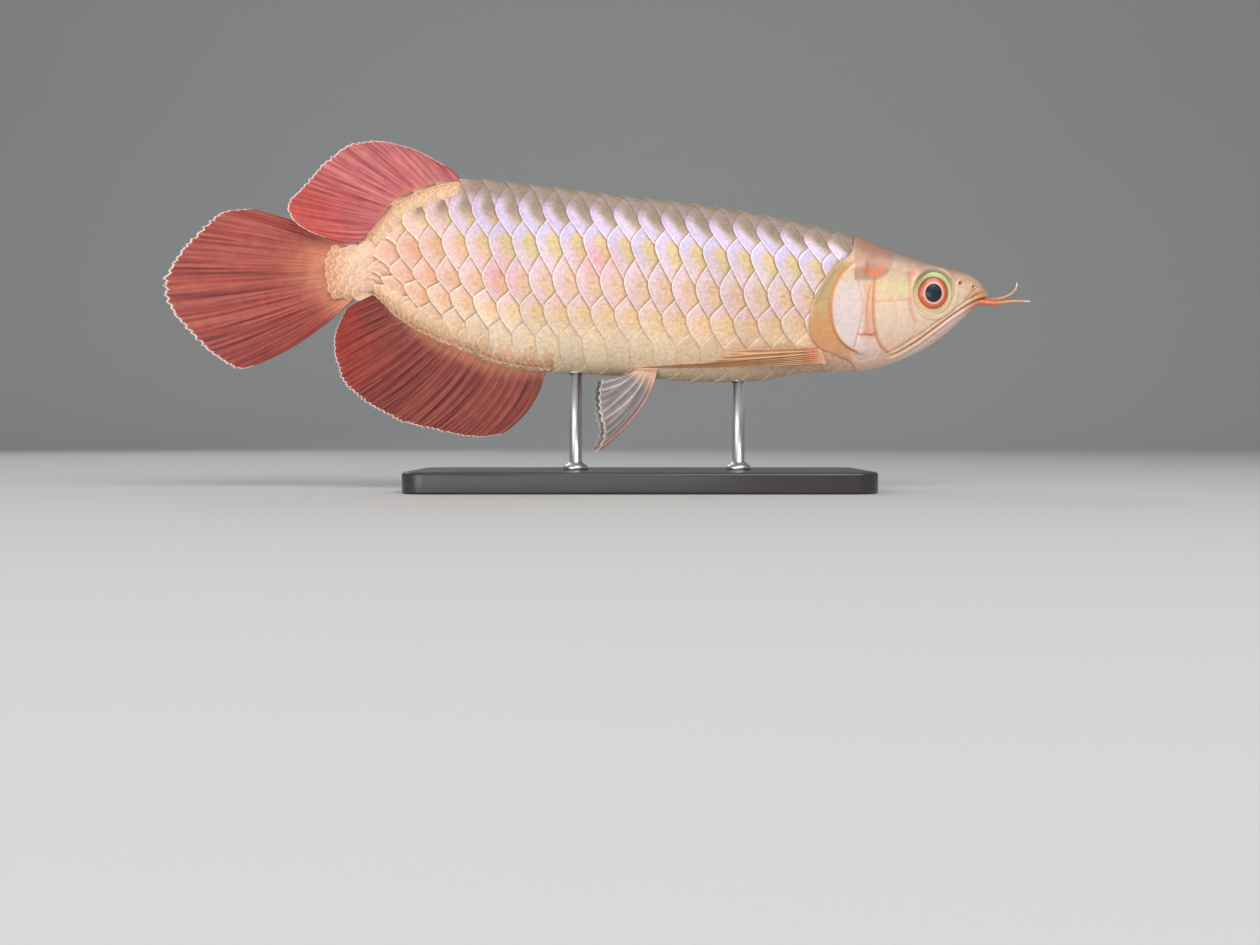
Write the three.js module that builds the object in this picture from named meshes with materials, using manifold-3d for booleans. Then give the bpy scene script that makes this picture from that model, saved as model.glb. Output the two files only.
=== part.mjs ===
// Asian arowana, life size, swimming, on a plain display stand.
// Millimetres, +Z up. The fish faces +X, its right flank is at -Y, and the base stands on Z = 0.

import * as THREE from "three";
import { mergeVertices } from "three/addons/utils/BufferGeometryUtils.js";
import Module from "manifold-3d";

const wasm = await Module();
wasm.setup();

// Driving dimensions
const TOTAL_LENGTH = 400; // snout to the end of the tail fin, stated for the size of the model
const SNOUT_X = 190;
const TAIL_FIN_X = SNOUT_X - TOTAL_LENGTH;
const GAP = 0.3; // kept between neighbouring pieces
const ROOT_DEPTH = 3; // how far a rod runs into the body before it is cut flush
const WIDE = 60; // beyond the model to either side
const TALL = 200; // above the model

// The back, the belly and half the width, each as distance along the fish and height or width
const BACK = [[-121, 119.2], [-113, 120.2], [-107, 126], [-101, 134.2], [-95.4, 140.5], [-85.8, 145.2], [-72.7, 149.1],
  [-57.7, 150], [-26.2, 146.8], [12.6, 142.1], [51.4, 137.6], [80.4, 133], [99.8, 128.9], [119.2, 123.9],
  [138.6, 117], [157.9, 110.7], [170, 107.4], [177.3, 105.3], [183.1, 102.4], [187, 99], [189.2, 96.2], [190, 94]];
const BELLY = [[-121, 90.6], [-113, 93.5], [-107, 94.3], [-101, 89.2], [-95.4, 83.4], [-85.8, 77.1], [-72.7, 71],
  [-57.7, 65.4], [-45.5, 60.6], [-26.2, 57.4], [12.6, 55.5], [51.4, 52.6], [80.4, 53], [99.8, 56.7], [119.2, 57.7],
  [138.6, 60.3], [148.3, 63.5], [157.9, 67.9], [167.6, 74], [177.3, 82.6], [183.1, 87.7], [187, 90.6],
  [189.2, 92.2], [190, 93.4]];
const HALF_WIDTH = [[-121, 4.2], [-107, 6.4], [-95, 8.2], [-72, 11.8], [-45, 15.4], [-25, 17.8], [10, 20.8],
  [40, 21.8], [75, 21.8], [100, 20.8], [120, 19.4], [138, 17.2], [148, 15.6], [158, 13.8], [167, 12],
  [177, 9.4], [183, 7.4], [187, 5.2], [189.2, 3], [190, 1.2]];

// The section is rounder below than above, and the head is flat on top
const WIDEST_UP = 0.6; // height of the widest place, as a share of the depth
const ROUND_ABOVE_TRUNK = 2.3;
const ROUND_ABOVE_HEAD = 3.1;
const ROUND_BELOW_TRUNK = 1.95;
const ROUND_BELOW_HEAD = 1.7;
const HEAD_STARTS_X = 105;
const HEAD_FULL_X = 150;

// Where the trunk is divided
const CUT_MIDDLE_X = 14;
const CUT_STALK_X = -72;
const TRUNK_REAR_X = -118.5;

// A curve through [x, value] points, with slopes taken from the neighbours
function curveThrough(points) {
  const slopes = points.map((point, index) => {
    const before = points[Math.max(0, index - 1)];
    const after = points[Math.min(points.length - 1, index + 1)];
    return (after[1] - before[1]) / (after[0] - before[0]);
  });
  return (x) => {
    let index = 0;
    while (index < points.length - 2 && x > points[index + 1][0]) index += 1;
    const [x0, v0] = points[index];
    const [x1, v1] = points[index + 1];
    const width = x1 - x0;
    const t = Math.min(1, Math.max(0, (x - x0) / width));
    const rise = 3 * t * t - 2 * t * t * t;
    const startSlope = t * (1 - t) * (1 - t) * width * slopes[index];
    const endSlope = t * t * (t - 1) * width * slopes[index + 1];
    return v0 + (v1 - v0) * rise + startSlope + endSlope;
  };
}

const backAt = curveThrough(BACK);
const bellyAt = curveThrough(BELLY);
const halfWidthAt = curveThrough(HALF_WIDTH);

function smoothStep(low, high, value) {
  const t = Math.min(1, Math.max(0, (value - low) / (high - low)));
  return t * t * (3 - 2 * t);
}

// Point of the skin: angle 0 is the back, PI / 2 the left flank, PI the belly
function skinPoint(x, angle) {
  const headShare = smoothStep(HEAD_STARTS_X, HEAD_FULL_X, x);
  const back = backAt(x);
  const belly = bellyAt(x);
  const middle = belly + (back - belly) * WIDEST_UP;
  const above = Math.cos(angle) >= 0;
  const roundness = above
    ? ROUND_ABOVE_TRUNK + (ROUND_ABOVE_HEAD - ROUND_ABOVE_TRUNK) * headShare
    : ROUND_BELOW_TRUNK + (ROUND_BELOW_HEAD - ROUND_BELOW_TRUNK) * headShare;
  const reach = above ? back - middle : belly - middle;
  const side = Math.sign(Math.sin(angle)) * Math.abs(Math.sin(angle)) ** (2 / roundness);
  const up = Math.abs(Math.cos(angle)) ** (2 / roundness);
  return new THREE.Vector3(x, halfWidthAt(x) * side, middle + reach * up);
}

// The same point moved out along the skin's normal
function liftedPoint(x, angle, lift) {
  const stepX = 0.5;
  const stepAngle = 0.02;
  const along = skinPoint(x + stepX, angle).sub(skinPoint(x - stepX, angle));
  const around = skinPoint(x, angle + stepAngle).sub(skinPoint(x, angle - stepAngle));
  const normal = along.cross(around).normalize();
  return skinPoint(x, angle).addScaledVector(normal, lift);
}

function toSolid(geometry) {
  const bare = geometry.clone();
  bare.deleteAttribute("normal");
  bare.deleteAttribute("uv");
  const merged = mergeVertices(bare, 1e-4);
  const vertProperties = new Float32Array(merged.attributes.position.array);
  const triVerts = new Uint32Array(merged.index.array);
  return new wasm.Manifold(new wasm.Mesh({ numProp: 3, vertProperties, triVerts }));
}

function toGeometry(solid) {
  const mesh = solid.getMesh();
  const geometry = new THREE.BufferGeometry();
  geometry.setAttribute("position", new THREE.BufferAttribute(new Float32Array(mesh.vertProperties), 3));
  geometry.setIndex(new THREE.BufferAttribute(new Uint32Array(mesh.triVerts), 1));
  return geometry;
}

function largestPiece(solid) {
  const pieces = solid.decompose();
  return pieces.sort((a, b) => b.volume() - a.volume())[0];
}

function solidFromFaces(points, faces) {
  const geometry = new THREE.BufferGeometry();
  const positions = new Float32Array(points.flatMap((point) => [point.x, point.y, point.z]));
  geometry.setAttribute("position", new THREE.BufferAttribute(positions, 3));
  geometry.setIndex(faces.flat());
  return toSolid(geometry);
}

// Closed tube of sections, each a ring of points, with a fan over each end
function loft(rings) {
  const points = rings.flat();
  const faces = [];
  const around = rings[0].length;
  rings.slice(1).forEach((_, row) => {
    for (let k = 0; k < around; k += 1) {
      const next = (k + 1) % around;
      const a = row * around + k;
      const b = row * around + next;
      faces.push([a, b, a + around], [b, b + around, a + around]);
    }
  });
  [0, rings.length - 1].forEach((row) => {
    const centre = new THREE.Vector3();
    rings[row].forEach((point) => centre.addScaledVector(point, 1 / around));
    const centreIndex = points.push(centre) - 1;
    for (let k = 0; k < around; k += 1) {
      const a = row * around + k;
      const b = row * around + ((k + 1) % around);
      faces.push(row === 0 ? [b, a, centreIndex] : [a, b, centreIndex]);
    }
  });
  return solidFromFaces(points, faces);
}

// Solid of an outline in the X-Z plane, from one Y to another
function prism(outline, fromY, toY) {
  const shape = new THREE.Shape(outline.map(([x, z]) => new THREE.Vector2(x, z)));
  const geometry = new THREE.ExtrudeGeometry(shape, { depth: toY - fromY, bevelEnabled: false });
  geometry.rotateX(Math.PI / 2);
  geometry.translate(0, toY, 0);
  return toSolid(geometry);
}

// Outline moved outwards by a distance, for the cut that leaves the gap
function widened(outline, distance) {
  const area = outline.reduce((sum, [x, z], k) => {
    const [nextX, nextZ] = outline[(k + 1) % outline.length];
    return sum + (x * nextZ - nextX * z) / 2;
  }, 0);
  const turn = Math.sign(area);
  return outline.map((point, k) => {
    const before = outline[(k + outline.length - 1) % outline.length];
    const after = outline[(k + 1) % outline.length];
    const edgeIn = new THREE.Vector2(point[0] - before[0], point[1] - before[1]).normalize();
    const edgeOut = new THREE.Vector2(after[0] - point[0], after[1] - point[1]).normalize();
    const outIn = new THREE.Vector2(edgeIn.y, -edgeIn.x).multiplyScalar(turn);
    const outOut = new THREE.Vector2(edgeOut.y, -edgeOut.x).multiplyScalar(turn);
    const middle = outIn.add(outOut).normalize();
    const stretch = 1 / Math.max(0.5, middle.dot(outOut));
    return [point[0] + middle.x * distance * stretch, point[1] + middle.y * distance * stretch];
  });
}

function smoothOutline(points, count) {
  const curve = new THREE.SplineCurve(points.map(([x, z]) => new THREE.Vector2(x, z)));
  return curve.getSpacedPoints(count).map((point) => [point.x, point.y]);
}

function ellipsoid(centre, radii, segments) {
  const geometry = new THREE.SphereGeometry(1, segments, Math.round(segments * 0.6));
  geometry.rotateX(Math.PI / 2);
  geometry.scale(radii.x, radii.y, radii.z);
  geometry.translate(centre.x, centre.y, centre.z);
  return toSolid(geometry);
}

const model = new THREE.Group();

function addNode(name, solid, finish) {
  const material = new THREE.MeshStandardMaterial(finish);
  const mesh = new THREE.Mesh(toGeometry(largestPiece(solid)), material);
  mesh.name = name;
  model.add(mesh);
}

const PEARL_SCALE = { color: "#d9cdb4", roughness: 0.35, metalness: 0.2 };
const HEAD_SKIN = { color: "#e3d2b2", roughness: 0.35, metalness: 0.15 };
const GILL_COVER = { color: "#ecd3bf", roughness: 0.3, metalness: 0.25 };
const RED_FIN = { color: "#b0615a", roughness: 0.5, metalness: 0 };
const PALE_FIN = { color: "#c9a58c", roughness: 0.5, metalness: 0 };
const BARBEL_SKIN = { color: "#d98a5c", roughness: 0.45, metalness: 0 };
const EYE_FINISH = { color: "#9c3b2c", roughness: 0.1, metalness: 0 };
const STAND_BASE_FINISH = { color: "#2b2b2c", roughness: 0.5, metalness: 0 };
const STAND_ROD_FINISH = { color: "#c4c6c8", roughness: 0.3, metalness: 1 };

// Trunk, covered by large scales. Rows run along the fish, row 0 on the back and the last on the belly.
// Each scale's free edge points rearwards and stands over the scales behind it.
const SCALE_PITCH = 11.2; // from one scale to the next along a row
const SCALE_LIFT = 0.9; // height of a flank scale's tip over the scale behind it
const CORNER_LIFT = 0.36; // height left where the edge slips under the row above
const ROW_LIFT = [0.4, 0.7, 1, 1, 1, 0.8, 0.45]; // scales lie flatter on the back and the belly
const ROW_DEPTH_MIDDLE = [0, 0.126, 0.285, 0.491, 0.66, 0.82, 1]; // share of the depth below the back
const ROW_DEPTH_TAIL = [0, 0.23, 0.42, 0.61, 0.71, 0.84, 1];
const MIDDLE_ENDS_X = 0;
const TAIL_BEGINS_X = -110;
const ROW_SHIFT = [0, -3.4, -6.3, -9.6, -14, -18, -22.5]; // each row's tips lie further back
const ROWS = ROW_SHIFT.length - 1;
const FIRST_TIP_X = -132.6; // tip of the rearmost scale of row 0
const COLUMNS = 26;
const EDGE_STEPS = [0, 0.28, 0.5, 0.75, 1]; // along a lower edge, from the tip to the next row's tip in front
const CORNER_STEP = 2; // where the upper corner of the scale below meets that edge
const LOWER_BENDS = [[-0.04, 0.3], [0.4, 0.6]]; // shares of the way forward and round the body
const UPPER_BENDS = [[0, 0.25], [0.55, 0.62]];

function tipOf(column, row) {
  const x = FIRST_TIP_X + column * SCALE_PITCH + ROW_SHIFT[row];
  const toTail = smoothStep(MIDDLE_ENDS_X, TAIL_BEGINS_X, x);
  const depth = ROW_DEPTH_MIDDLE[row] + (ROW_DEPTH_TAIL[row] - ROW_DEPTH_MIDDLE[row]) * toTail;
  return { x, angle: angleAtDepth(x, depth) };
}

// Angle around the section at a share of its depth below the back
function angleAtDepth(x, depth) {
  const height = 1 - depth;
  const above = height >= WIDEST_UP;
  const roundness = above ? ROUND_ABOVE_TRUNK : ROUND_BELOW_TRUNK;
  const reach = above ? (height - WIDEST_UP) / (1 - WIDEST_UP) : (WIDEST_UP - height) / WIDEST_UP;
  const fromSide = Math.acos(Math.min(1, reach) ** (roundness / 2));
  return above ? fromSide : Math.PI - fromSide;
}

function curveAt(from, to, bends, t) {
  const share = (k) => 3 * t * (1 - t) ** 2 * bends[0][k] + 3 * t * t * (1 - t) * bends[1][k] + t ** 3;
  return { x: from.x + share(0) * (to.x - from.x), angle: from.angle + share(1) * (to.angle - from.angle) };
}

// Place on a scale's lower edge, which runs forward to the tip of the scale below and in front
function lowerEdge(column, row, t) {
  return curveAt(tipOf(column, row), tipOf(column + 1, row + 1), LOWER_BENDS, t);
}

// Place on a scale's upper edge, which ends on the lower edge of the scale above
function upperEdge(column, row, t) {
  return curveAt(tipOf(column, row), lowerEdge(column, row - 1, EDGE_STEPS[CORNER_STEP]), UPPER_BENDS, t);
}

function trunkSolid(grow) {
  const points = [];
  const faces = [];
  const known = new Map();
  const last = EDGE_STEPS.length - 1;
  const corner = EDGE_STEPS[CORNER_STEP];

  const pointAt = (key, place, side, lift) => {
    if (!known.has(key)) {
      known.set(key, points.push(liftedPoint(place.x, side * place.angle, lift + grow)) - 1);
    }
    return known.get(key);
  };
  // level is "top" on the scale's own edge, "corner" just under the row above, and "under" on what it covers
  const edgePoint = (column, row, step, side, level) => {
    if (step === last) return edgePoint(column + 1, row + 1, 0, side, "under");
    const t = EDGE_STEPS[step];
    const heights = {
      top: SCALE_LIFT * ROW_LIFT[row] * (1 - t * t),
      corner: CORNER_LIFT * ROW_LIFT[Math.min(row + 1, ROWS)] * (1 - (t - corner) / (1 - corner)),
      under: 0,
    };
    const sideKey = step === 0 && (row === 0 || row === ROWS) ? 0 : side;
    const place = lowerEdgeOrTip(column, row, t);
    return pointAt(`${column}/${row}/${step}/${sideKey}/${level}`, place, side, heights[level]);
  };
  const lowerEdgeOrTip = (column, row, t) => (t === 0 ? tipOf(column, row) : lowerEdge(column, row, t));
  const upperPoint = (column, row, side, level) => {
    const lift = level === "top" ? ROW_LIFT[row] * (SCALE_LIFT + CORNER_LIFT) / 2 : 0;
    return pointAt(`${column}/${row}/upper/${side}/${level}`, upperEdge(column, row, 0.5), side, lift);
  };
  const addFace = (side, a, b, c) => faces.push(side > 0 ? [a, b, c] : [a, c, b]);

  // The half of a scale's visible border on one side, from its tip over the front to the lower edge
  const upperBorder = (column, row, side) => {
    const border = [edgePoint(column, row, 0, side, "top"), upperPoint(column, row, side, "top")];
    for (let step = CORNER_STEP; step < last; step += 1) border.push(edgePoint(column, row - 1, step, side, "corner"));
    border.push(edgePoint(column + 1, row, 0, side, "under"));
    return border;
  };
  const lowerBorder = (column, row, side) => {
    const border = [];
    for (let step = 1; step <= CORNER_STEP; step += 1) border.push(edgePoint(column + 1, row, step, side, "under"));
    border.push(upperPoint(column + 1, row + 1, side, "under"));
    border.push(edgePoint(column + 1, row + 1, 0, side, "under"));
    for (let step = last - 1; step > 0; step -= 1) border.push(edgePoint(column, row, step, side, "top"));
    return border;
  };
  const addScale = (column, row, side, border) => {
    const tip = tipOf(column, row);
    const front = tipOf(column + 1, row);
    const lean = row === 0 || row === ROWS ? 0 : (tipOf(column + 1, row + 1).angle - tip.angle) * 0.12;
    const middle = { x: (tip.x + front.x) / 2 + (row === 0 ? 2 : 0), angle: (tip.angle + front.angle) / 2 + lean };
    const centre = pointAt(`${column}/${row}/middle/${side}`, middle, side || 1, SCALE_LIFT * ROW_LIFT[row] * 0.45);
    border.forEach((a, k) => addFace(side || 1, a, border[(k + 1) % border.length], centre));
  };
  // Walls under the free edges
  const addWalls = (column, row, side, hasRear) => {
    const wall = (a, aUnder, b, bUnder) => {
      addFace(side, a, b, aUnder);
      if (b !== bUnder) addFace(side, b, bUnder, aUnder);
    };
    if (row < ROWS) {
      for (let step = CORNER_STEP; step < last; step += 1) {
        const next = step + 1;
        const isEnd = next === last;
        const b = edgePoint(column, row, next, side, "top");
        const bUnder = isEnd ? b : edgePoint(column, row, next, side, "corner");
        wall(edgePoint(column, row, step, side, "top"), edgePoint(column, row, step, side, "corner"), b, bUnder);
      }
    }
    if (!hasRear) return;
    if (row < ROWS) {
      for (let step = 0; step < CORNER_STEP; step += 1) {
        const a = edgePoint(column, row, step, side, "top");
        const b = edgePoint(column, row, step + 1, side, "top");
        const aUnder = edgePoint(column, row, step, side, "under");
        const bUnder = edgePoint(column, row, step + 1, side, "under");
        if (step + 1 === CORNER_STEP) {
          const bCorner = edgePoint(column, row, step + 1, side, "corner");
          addFace(side, a, b, bCorner);
          addFace(side, a, bCorner, aUnder);
          addFace(side, bCorner, bUnder, aUnder);
        } else {
          wall(a, aUnder, b, bUnder);
        }
      }
    }
    if (row > 0) {
      const tip = edgePoint(column, row, 0, side, "top");
      const tipUnder = edgePoint(column, row, 0, side, "under");
      const half = upperPoint(column, row, side, "top");
      const halfUnder = upperPoint(column, row, side, "under");
      const end = edgePoint(column, row - 1, CORNER_STEP, side, "corner");
      const endUnder = edgePoint(column, row - 1, CORNER_STEP, side, "under");
      wall(half, halfUnder, tip, tipUnder);
      wall(end, endUnder, half, halfUnder);
    }
  };

  for (let column = 0; column < COLUMNS; column += 1) {
    [-1, 1].forEach((side) => {
      for (let row = 1; row < ROWS; row += 1) {
        addScale(column, row, side, [...upperBorder(column, row, side), ...lowerBorder(column, row, side)]);
      }
      for (let row = 0; row <= ROWS; row += 1) addWalls(column, row, side, column > 0);
    });
    const leftBack = lowerBorder(column, 0, 1);
    const rightBack = lowerBorder(column, 0, -1).reverse();
    const backTip = edgePoint(column, 0, 0, 1, "top");
    const backFront = edgePoint(column + 1, 0, 0, 1, "under");
    addScale(column, 0, 0, [backTip, ...rightBack, backFront, ...leftBack]);
    const leftBelly = upperBorder(column, ROWS, 1);
    const rightBelly = upperBorder(column, ROWS, -1).slice(1, -1).reverse();
    addScale(column, ROWS, 0, [...leftBelly, ...rightBelly]);
  }

  // Both ends are closed by a fan over the open border
  const used = new Set(faces.flatMap(([a, b, c]) => [`${a}-${b}`, `${b}-${c}`, `${c}-${a}`]));
  const frontX = FIRST_TIP_X + COLUMNS * SCALE_PITCH;
  const middleX = (frontX + TRUNK_REAR_X) / 2;
  const endCentres = [points[0].x, frontX].map((x) => {
    const place = new THREE.Vector3(x, 0, (backAt(x) + bellyAt(x)) / 2);
    return points.push(place) - 1;
  });
  [...faces].forEach(([a, b, c]) => {
    [[a, b], [b, c], [c, a]].forEach(([from, to]) => {
      if (used.has(`${to}-${from}`)) return;
      faces.push([to, from, points[from].x < middleX ? endCentres[0] : endCentres[1]]);
    });
  });
  const rearEnd = [[TRUNK_REAR_X - grow, 0], [TRUNK_REAR_X - grow, TALL], [TAIL_FIN_X - WIDE, TALL],
    [TAIL_FIN_X - WIDE, 0]];
  return solidFromFaces(points, faces).subtract(prism(rearEnd, -WIDE, WIDE));
}

// Head, in front of the rear edge of the gill opening
const HEAD_REAR_EDGE = [[123.4, 150], [123.4, 114], [116.7, 109.2], [109.6, 102], [105.8, 94.4], [103.1, 86.5],
  [101.4, 79.2], [102.7, 72.7], [107.7, 67.7], [116.6, 64.5], [126, 61.2], [131, 40]];
const FRONT_REGION = [...HEAD_REAR_EDGE, [210, 40], [210, 150]];
const HEAD_REAR_X = 98; // the head's sections begin behind its rear edge
const HEAD_RINGS = 26;
const HEAD_CROWDING = 1.35; // sections stand closer towards the snout
const HEAD_AROUND = 32;
const HEAD_PROUD = 0.7; // how far the edge of the gill opening stands over the scales

// Mouth line, from the snout down to the corner of the jaw
const MOUTH_LINE = [[192.9, 93.5], [185.9, 92.5], [179.1, 89.3], [172.6, 85.3], [162.3, 77.7], [154.5, 71.7],
  [145.1, 66.5], [138.9, 64]];
const JAW_REGION = [...MOUTH_LINE, [135, 50], [193, 50]];
const JAW_REAR_X = 135.6;
const LIP_HEIGHT = 0.7;
const LIP_HALF_WIDTH = 2.4;

function distanceToLine(x, z, line) {
  let nearest = Infinity;
  for (let k = 0; k + 1 < line.length; k += 1) {
    const [x0, z0] = line[k];
    const [x1, z1] = line[k + 1];
    const length = (x1 - x0) ** 2 + (z1 - z0) ** 2;
    const t = Math.min(1, Math.max(0, ((x - x0) * (x1 - x0) + (z - z0) * (z1 - z0)) / length));
    nearest = Math.min(nearest, Math.hypot(x - x0 - t * (x1 - x0), z - z0 - t * (z1 - z0)));
  }
  return nearest;
}

function headLift(x, angle) {
  const point = skinPoint(x, angle);
  const fromMouth = distanceToLine(x, point.z, MOUTH_LINE);
  const lip = LIP_HEIGHT * Math.exp(-((fromMouth / LIP_HALF_WIDTH) ** 2)) * smoothStep(190.5, 184, x);
  const rearEdge = HEAD_PROUD * smoothStep(122, 108, x);
  return lip + rearEdge;
}

function headSolid(lift) {
  const rings = [];
  for (let row = 0; row <= HEAD_RINGS; row += 1) {
    const share = row / HEAD_RINGS;
    const x = SNOUT_X - (SNOUT_X - HEAD_REAR_X) * share ** HEAD_CROWDING;
    const ring = [];
    for (let k = 0; k < HEAD_AROUND; k += 1) {
      const angle = (k / HEAD_AROUND) * 2 * Math.PI;
      ring.push(liftedPoint(x, angle, lift + headLift(x, angle)));
    }
    rings.push(ring);
  }
  return loft(rings);
}

const wholeHead = headSolid(0).intersect(prism(FRONT_REGION, -WIDE, WIDE));
const headCutter = headSolid(GAP);

// Eyes: shallow domes in round sockets
const EYE_CENTRE = { x: 161.5, y: 7.6, z: 94.2 };
const EYE_RADII = { x: 9.3, y: 6.6, z: 10.2 };
const EYE_SEGMENTS = 14;

function eyeSolid(side, extra) {
  const centre = { x: EYE_CENTRE.x, y: EYE_CENTRE.y * side, z: EYE_CENTRE.z };
  const radii = { x: EYE_RADII.x + extra, y: EYE_RADII.y + extra, z: EYE_RADII.z + extra };
  return ellipsoid(centre, radii, EYE_SEGMENTS);
}

// Nostrils: the front one near the lip, the rear one before the eye
const NOSTRILS = [{ x: 181.5, z: 98.8, radius: 1.1 }, { x: 174.5, z: 99.9, radius: 1.3 }];

// Gill covers, each an outlined plate set into the side of the head
const GILL_COVER_OUTLINE = smoothOutline([[130.9, 97.2], [126.9, 102], [120.9, 105.2], [115.9, 100.6],
  [112.7, 93.6], [111.9, 86.7], [112.6, 79.8], [115.2, 72.8], [120.6, 67.8], [127.4, 65.8], [132.5, 67.4],
  [132.7, 76], [131.4, 86.5], [130.9, 97.2]], 36).slice(0, -1);
const GILL_COVER_INNER_Y = 9;
const GILL_COVER_PROUD = 0.8;

function gillCover(side) {
  const from = side < 0 ? -WIDE : GILL_COVER_INNER_Y;
  const to = side < 0 ? -GILL_COVER_INNER_Y : WIDE;
  return headSolid(GILL_COVER_PROUD).intersect(prism(GILL_COVER_OUTLINE, from, to));
}

function gillCoverRecess(side) {
  const from = side < 0 ? -WIDE : GILL_COVER_INNER_Y - GAP;
  const to = side < 0 ? -(GILL_COVER_INNER_Y - GAP) : WIDE;
  return prism(widened(GILL_COVER_OUTLINE, GAP), from, to);
}

let head = wholeHead.subtract(prism(widened(JAW_REGION, GAP), -WIDE, WIDE));
[-1, 1].forEach((side) => {
  head = head.subtract(eyeSolid(side, GAP)).subtract(gillCoverRecess(side));
  NOSTRILS.forEach(({ x, z, radius }) => {
    const angle = Math.acos(((z - bellyAt(x)) / (backAt(x) - bellyAt(x)) - WIDEST_UP) / (1 - WIDEST_UP));
    const place = liftedPoint(x, side * angle ** 0.9, 0);
    head = head.subtract(ellipsoid(place, { x: radius * 1.3, y: radius, z: radius }, 10));
  });
});
const lowerJaw = headSolid(0).intersect(prism(JAW_REGION, -WIDE, WIDE)).subtract(
  prism([[HEAD_REAR_X, 0], [JAW_REAR_X, 0], [JAW_REAR_X, TALL], [HEAD_REAR_X, TALL]], -WIDE, WIDE));
let jaw = lowerJaw;
[-1, 1].forEach((side) => {
  jaw = jaw.subtract(gillCoverRecess(side)).subtract(eyeSolid(side, GAP));
});

addNode("head", head, HEAD_SKIN);
addNode("lower_jaw", jaw, HEAD_SKIN);
[["right", -1], ["left", 1]].forEach(([sideName, side]) => {
  addNode(`gill_cover_${sideName}`, gillCover(side), GILL_COVER);
  addNode(`eye_${sideName}`, eyeSolid(side, 0), EYE_FINISH);
});

// Trunk, parted by thin cuts
function slab(x) {
  return prism([[x - GAP / 2, 0], [x + GAP / 2, 0], [x + GAP / 2, TALL], [x - GAP / 2, TALL]], -WIDE, WIDE);
}

const trunk = trunkSolid(0)
  .subtract(prism(widened(FRONT_REGION, GAP), -WIDE, WIDE))
  .subtract(slab(CUT_MIDDLE_X))
  .subtract(slab(CUT_STALK_X));
const lengths = trunk.decompose().sort((a, b) => b.boundingBox().max[0] - a.boundingBox().max[0]);
addNode("torso_front", lengths[0], PEARL_SCALE);
addNode("torso_rear", lengths[1], PEARL_SCALE);
addNode("tail_stalk", lengths[2], PEARL_SCALE);
const CUTTER_GROWTH = GAP * 1.3; // a little over the gap, because the scales' walls are steep
const trunkCutter = trunkSolid(CUTTER_GROWTH);

// Fins: rays fan out from the root to the margin, with thinner membrane between them
const MEMBRANE_ROOT = 1.2;
const MEMBRANE_TIP = 0.6;
const RAY_ROOT = 2.2;
const RAY_TIP = 0.9;

// pointAt(across, along) gives the middle of the fin: across runs from the first ray to the last
function finSolid(rays, steps, pointAt) {
  const columns = 2 * (rays - 1);
  const near = [];
  const far = [];
  for (let column = 0; column <= columns; column += 1) {
    for (let row = 0; row <= steps; row += 1) {
      const across = column / columns;
      const along = row / steps;
      const point = pointAt(across, along);
      const d = 0.01;
      const acrossLow = Math.max(0, across - d);
      const acrossHigh = Math.min(1, across + d);
      const alongLow = Math.max(0, along - d);
      const alongHigh = Math.min(1, along + d);
      const acrossStep = pointAt(acrossHigh, along).sub(pointAt(acrossLow, along));
      const alongStep = pointAt(across, alongHigh).sub(pointAt(across, alongLow));
      const normal = acrossStep.cross(alongStep).normalize();
      const onRay = column % 2 === 0;
      const thick = onRay
        ? RAY_ROOT + (RAY_TIP - RAY_ROOT) * along
        : MEMBRANE_ROOT + (MEMBRANE_TIP - MEMBRANE_ROOT) * along;
      near.push(point.clone().addScaledVector(normal, thick / 2));
      far.push(point.clone().addScaledVector(normal, -thick / 2));
    }
  }
  const rows = steps + 1;
  const offset = near.length;
  const faces = [];
  for (let column = 0; column < columns; column += 1) {
    for (let row = 0; row < steps; row += 1) {
      const a = column * rows + row;
      const b = a + rows;
      faces.push([a, b, b + 1], [a, b + 1, a + 1]);
      faces.push([offset + a, offset + b + 1, offset + b], [offset + a, offset + a + 1, offset + b + 1]);
    }
  }
  const rim = [];
  for (let column = 0; column < columns; column += 1) rim.push(column * rows);
  for (let row = 0; row < steps; row += 1) rim.push(columns * rows + row);
  for (let column = columns; column > 0; column -= 1) rim.push(column * rows + steps);
  for (let row = steps; row > 0; row -= 1) rim.push(row);
  rim.forEach((a, k) => {
    const b = rim[(k + 1) % rim.length];
    faces.push([a, offset + a, b], [b, offset + a, offset + b]);
  });
  return solidFromFaces([...near, ...far], faces);
}

function lineThrough(points) {
  return new THREE.CatmullRomCurve3(points.map(([x, y, z]) => new THREE.Vector3(x, y, z)), false, "centripetal");
}

// A ray from the root line to the margin, bent sideways in the fin by bow at its middle
function fanPoint(rootLine, marginLine, bow, curl) {
  return (across, along) => {
    const root = rootLine.getPointAt(across);
    const tip = marginLine.getPointAt(across);
    const point = root.clone().lerp(tip, along);
    const bend = 4 * along * (1 - along);
    const [bowX, bowZ] = bow(across);
    point.x += bowX * bend;
    point.z += bowZ * bend;
    point.y += curl(across, along);
    return point;
  };
}

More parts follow.
